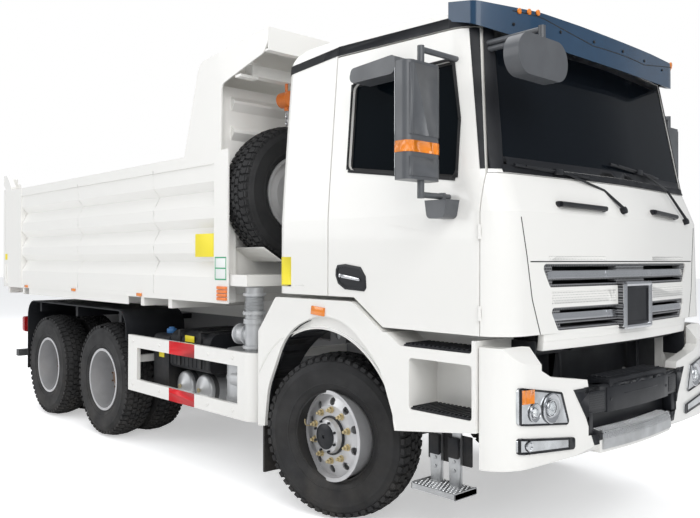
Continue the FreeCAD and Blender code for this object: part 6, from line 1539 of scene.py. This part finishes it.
class TRUCK_OT_mirrors(bpy.types.Operator):
    """Mirror housings' covers, seams, amber repeaters and glass"""
    bl_idname = "truck.mirrors"
    bl_label = "Mirrors"

    def execute(self, context):
        for side, sign in SIDES:
            node_name = "mirrors_" + side
            door = "door_" + side
            rear = touch(node_name, (2.9, sign * 1.465, 2.45), (1, 0, 0)).x
            inner, outer = sign * 1.352, sign * 1.582
            covers = [skin("cover", node_name, window(None, (inner, outer), limits), (1, 0, 0), 0.004, 0.6)
                      for limits in ((2.352, 2.722), (2.138, 2.236))]
            add("mirror_covers_" + side, covers, "Housing black", door)
            reach = (sign * 1.34, sign * 1.62)
            strip = skin("mirror_amber_" + side, node_name, window(None, reach, (2.262, 2.322)),
                         (1, sign * 0.8, 0), 0.003, 0.15)
            give(strip, "Amber lens", door)
            glass = [box("glass", (rear - 0.004, inner, 2.300), (rear + 0.001, outer, 2.715), 0.002),
                     box("glass", (rear - 0.004, inner, 2.145), (rear + 0.001, outer, 2.280), 0.002)]
            add("mirror_glass_" + side, glass, "Mirror glass", door)
        return {"FINISHED"}


def chain_links(name, top, bottom, wire):
    """Chain links one below another, each turned a quarter from the last."""
    top, bottom = Vector(top), Vector(bottom)
    count = max(2, round((top - bottom).length / (wire * 5.2)))
    parts = []
    for index in range(count):
        place = top.lerp(bottom, (index + 0.5) / count)
        bpy.ops.object.select_all(action="DESELECT")
        bpy.ops.mesh.primitive_torus_add(major_radius=wire * 2.5, minor_radius=wire, major_segments=14,
                                         minor_segments=7, location=place,
                                         rotation=(math.pi / 2, 0, math.pi / 2 * (index % 2)))
        bpy.context.object.scale = (0.72, 1.35, 1)
        parts.append(called("link"))
    return weld(name, parts)


class TRUCK_OT_bed_details(bpy.types.Operator):
    """The bed's labels, marker lamps, weld seams, spare wheel's chain, hook and rear fittings"""
    bl_idname = "truck.bed_details"
    bl_label = "Bed details"

    def execute(self, context):
        for side, sign in SIDES:
            out = (0, sign, 0)
            reach = (sign * 1.1, sign * 1.3)
            lamps = [box("lamp", (x, sign * 1.243, 1.372), (x + 0.085, sign * 1.256, 1.402), 0.004)
                     for x in (-3.05, -1.72, -0.30)]
            add("bed_markers_" + side, lamps, "Amber lens", "bed", "red_lamp")
            seams = [skin("seam", "bed", window((x, x + 0.007), reach, (1.41, 2.47)), out, 0.0015, 0.05)
                     for x in (-1.60, -0.02)]
            add("bed_seams_" + side, seams, "Bed paint", "bed")
            latch = [box("latch", (-3.700, sign * 1.246, 1.40), (-3.630, sign * 1.268, 1.47), 0.006),
                     bar("rod", (-3.665, sign * 1.257, 1.47), (-3.665, sign * 1.257, 1.64), 0.010, 12, 0.002)]
            add("gate_latch_" + side, latch, "Bed paint", "bed")
        y = -1.2505
        give(box("label_yellow", (0.668, -1.2405, 1.722), (0.935, -1.2355, 1.905), 0.001), "Yellow label",
             "bed")
        give(box("label_post", (0.975, y - 0.003, 1.545), (1.128, y + 0.001, 1.722), 0.001), "White label",
             "bed")
        edges = [box("edge", (0.975, y - 0.0040, z), (1.128, y - 0.002, z + 0.010), 0.0005, 1)
                 for z in (1.545, 1.630, 1.712)]
        edges += [box("edge", (x, y - 0.0042, 1.545), (x + 0.008, y - 0.002, 1.722), 0.0005, 1)
                  for x in (0.975, 1.120)]
        add("label_post_edge", edges, "Green band", "bed")
        give(box("label_rear", (-3.700, y - 0.003, 1.695), (-3.630, y + 0.001, 1.765), 0.001),
             "Yellow label", "bed")
        bars = [box("cell", (1.010, y - 0.014, 1.390 + 0.028 * index),
                    (1.138, y + 0.001, 1.413 + 0.028 * index), 0.004) for index in range(4)]
        add("lamp_bar", bars, "Orange paint", "bed", "red_lamp")
        wire = context.scene.truck_sizes.link_radius
        top, low = touch("chain_hoist", (1.235, -0.76, 2.5), (0, 0, 1)), 2.765
        give(chain_links("spare_chain", top, (1.235, -0.76, low), wire * 1.3), "Bright metal", "bed",
             "orange_paint")
        hook = [bar("block", top + Vector((0, 0, 0.004)), top - Vector((0, 0, 0.026)), 0.020, 20, 0.004)]
        add("chain_block", hook, "Orange paint", "bed")
        # tailgate: stiffeners and the blank plate under it
        back = [box("rib", (-3.781, y_low, 1.42), (-3.766, y_low + 0.06, 2.64), 0.004)
                for y_low in (-1.10, -0.56, -0.03, 0.50, 1.04)]
        add("gate_ribs", back, "Bed paint", "tailgate")
        face = touch("tail_bar", (-4.4, 0, 0.60), (1, 0, 0))
        give(box("rear_plate", (face.x - 0.004, -0.26, face.z - 0.035),
                 (face.x + 0.001, 0.26, face.z + 0.075), 0.001), "White label", "chassis")
        return {"FINISHED"}


class TRUCK_OT_running_gear(bpy.types.Operator):
    """Brake chambers and air lines on the axles"""
    bl_idname = "truck.running_gear"
    bl_label = "Running gear"

    def execute(self, context):
        parts = []
        for _, x in REAR_ROWS:
            for sign in (-1, 1):
                parts.append(bar("chamber", (x + 0.10, sign * 0.40, 0.66), (x + 0.26, sign * 0.40, 0.70),
                                 0.070, 24, 0.008))
                parts.append(bar("rod", (x + 0.02, sign * 0.40, 0.64), (x + 0.12, sign * 0.40, 0.665),
                                 0.014, 12))
        add("brake_chambers", parts, "Cast iron", "chassis")
        lines = [pipe("line", [(1.2, sign * 0.30, 1.12), (0.4, sign * 0.30, 1.115),
                               (-0.6, sign * 0.30, 1.12), (-1.9, sign * 0.30, 1.115)], 0.010, 8)
                 for sign in (-1, 1)]
        add("air_lines", lines, "Seal rubber", "chassis")
        return {"FINISHED"}


# Studio stage
class TRUCK_OT_stage(bpy.types.Operator):
    """Pale floor, soft lamps, white surroundings and the camera at the photograph's view"""
    bl_idname = "truck.stage"
    bl_label = "Studio stage"

    def execute(self, context):
        bpy.ops.object.select_all(action="DESELECT")
        bpy.ops.mesh.primitive_circle_add(vertices=96, radius=70, fill_type="NGON", location=(0, 0, -0.0005))
        floor = called("studio_floor")
        made = bpy.data.materials.new("Studio floor")
        made.use_nodes = True
        tree = made.node_tree
        shader = tree.nodes["Principled BSDF"]
        shader.inputs["Roughness"].default_value = 0.9
        shader.inputs["Emission Color"].default_value = (1, 1, 1, 1)
        spot = node(tree, "TexCoord").outputs["Object"]
        tree.links.new(mixed(tree, noise(tree, spot, 3.0), (0.87, 0.87, 0.87), (0.90, 0.90, 0.90)),
                       shader.inputs["Base Color"])
        rays = node(tree, "LightPath")
        tree.links.new(calc(tree, "MULTIPLY", rays.outputs["Is Camera Ray"], 0.45),
                       shader.inputs["Emission Strength"])
        floor.data.materials.append(made)
        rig.stage(floor)
        world = bpy.data.worlds.new("Studio")
        context.scene.world = world
        world.use_nodes = True
        tree = world.node_tree
        plain = tree.nodes["Background"]
        plain.inputs["Color"].default_value = (0.93, 0.96, 1.0, 1)
        plain.inputs["Strength"].default_value = 0.46
        bright = tree.nodes.new("ShaderNodeBackground")
        bright.inputs["Color"].default_value = (1, 1, 1, 1)
        rays = node(tree, "LightPath")
        seen = calc(tree, "MAXIMUM", rays.outputs["Is Camera Ray"], rays.outputs["Is Transmission Ray"])
        blend = tree.nodes.new("ShaderNodeMixShader")
        tree.links.new(seen, blend.inputs[0])
        tree.links.new(plain.outputs[0], blend.inputs[1])
        tree.links.new(bright.outputs[0], blend.inputs[2])
        tree.links.new(blend.outputs[0], tree.nodes["World Output"].inputs["Surface"])
        aim = Vector((0, 0, 1.3))
        for label, place, size, power in (("key", (11, -6, 8), 9, 960), ("side", (-7, -11, 6), 8, 480),
                                          ("back", (-10, 8, 8), 8, 600), ("top", (0, 0, 12), 12, 700)):
            bpy.ops.object.light_add(type="AREA", location=place,
                                     rotation=(Vector(place) - aim).to_track_quat("Z", "Y").to_euler())
            lamp = context.object
            lamp.name = "lamp_" + label
            lamp.data.size = size
            lamp.data.energy = power
        turn, tilt, roll = (math.radians(angle) for angle in CAMERA_ANGLES)
        back = Vector((math.sin(turn) * math.cos(tilt), -math.cos(turn) * math.cos(tilt), math.sin(tilt)))
        right = UP.cross(back).normalized()
        up = back.cross(right)
        right, up = right * math.cos(roll) + up * math.sin(roll), up * math.cos(roll) - right * math.sin(roll)
        bpy.ops.object.camera_add()
        camera = context.object
        camera.name = "camera"
        aimed = Matrix((right, up, back)).transposed().to_4x4()
        camera.matrix_world = Matrix.Translation(CAMERA_PLACE) @ aimed
        camera.data.lens = context.scene.truck_sizes.lens
        camera.data.sensor_width = 36
        camera.data.shift_x = 0.0231
        camera.data.shift_y = -0.0119
        camera.data.clip_end = 400
        context.scene.camera = camera
        context.scene.view_settings.view_transform = "Standard"
        return {"FINISHED"}


CLASSES = [kind for kind in list(globals().values())
           if isinstance(kind, type) and kind.__module__ == __name__]
OPERATORS = [kind for kind in CLASSES if issubclass(kind, bpy.types.Operator)]


class TRUCK_PT_pieces(bpy.types.Panel):
    """The truck's pieces, one button each"""
    bl_idname = "TRUCK_PT_pieces"
    bl_label = "Dump truck"
    bl_space_type = "VIEW_3D"
    bl_region_type = "UI"
    bl_category = "Truck"

    def draw(self, context):
        for settings in (context.scene.truck_sizes, context.scene.truck_colours):
            for key in settings.bl_rna.properties.keys():
                if key not in ("rna_type", "name"):
                    self.layout.prop(settings, key)
        for kind in OPERATORS:
            self.layout.operator(kind.bl_idname)


def register():
    for kind in CLASSES + [TRUCK_PT_pieces]:
        bpy.utils.register_class(kind)
    bpy.types.Scene.truck_sizes = bpy.props.PointerProperty(type=TruckSizes)
    bpy.types.Scene.truck_colours = bpy.props.PointerProperty(type=TruckColours)


def unregister():
    del bpy.types.Scene.truck_colours
    del bpy.types.Scene.truck_sizes
    for kind in reversed(CLASSES + [TRUCK_PT_pieces]):
        bpy.utils.unregister_class(kind)


def main():
    register()
    for kind in OPERATORS:
        group_name, action = kind.bl_idname.split(".")
        getattr(getattr(bpy.ops, group_name), action)()
    with open("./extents.json", "w") as out:
        json.dump({"cad": [list(corner) for corner in CAD_BOX],
                   "visual": [list(corner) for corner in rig.bounds()]}, out)


if __name__ == "__main__":
    main()
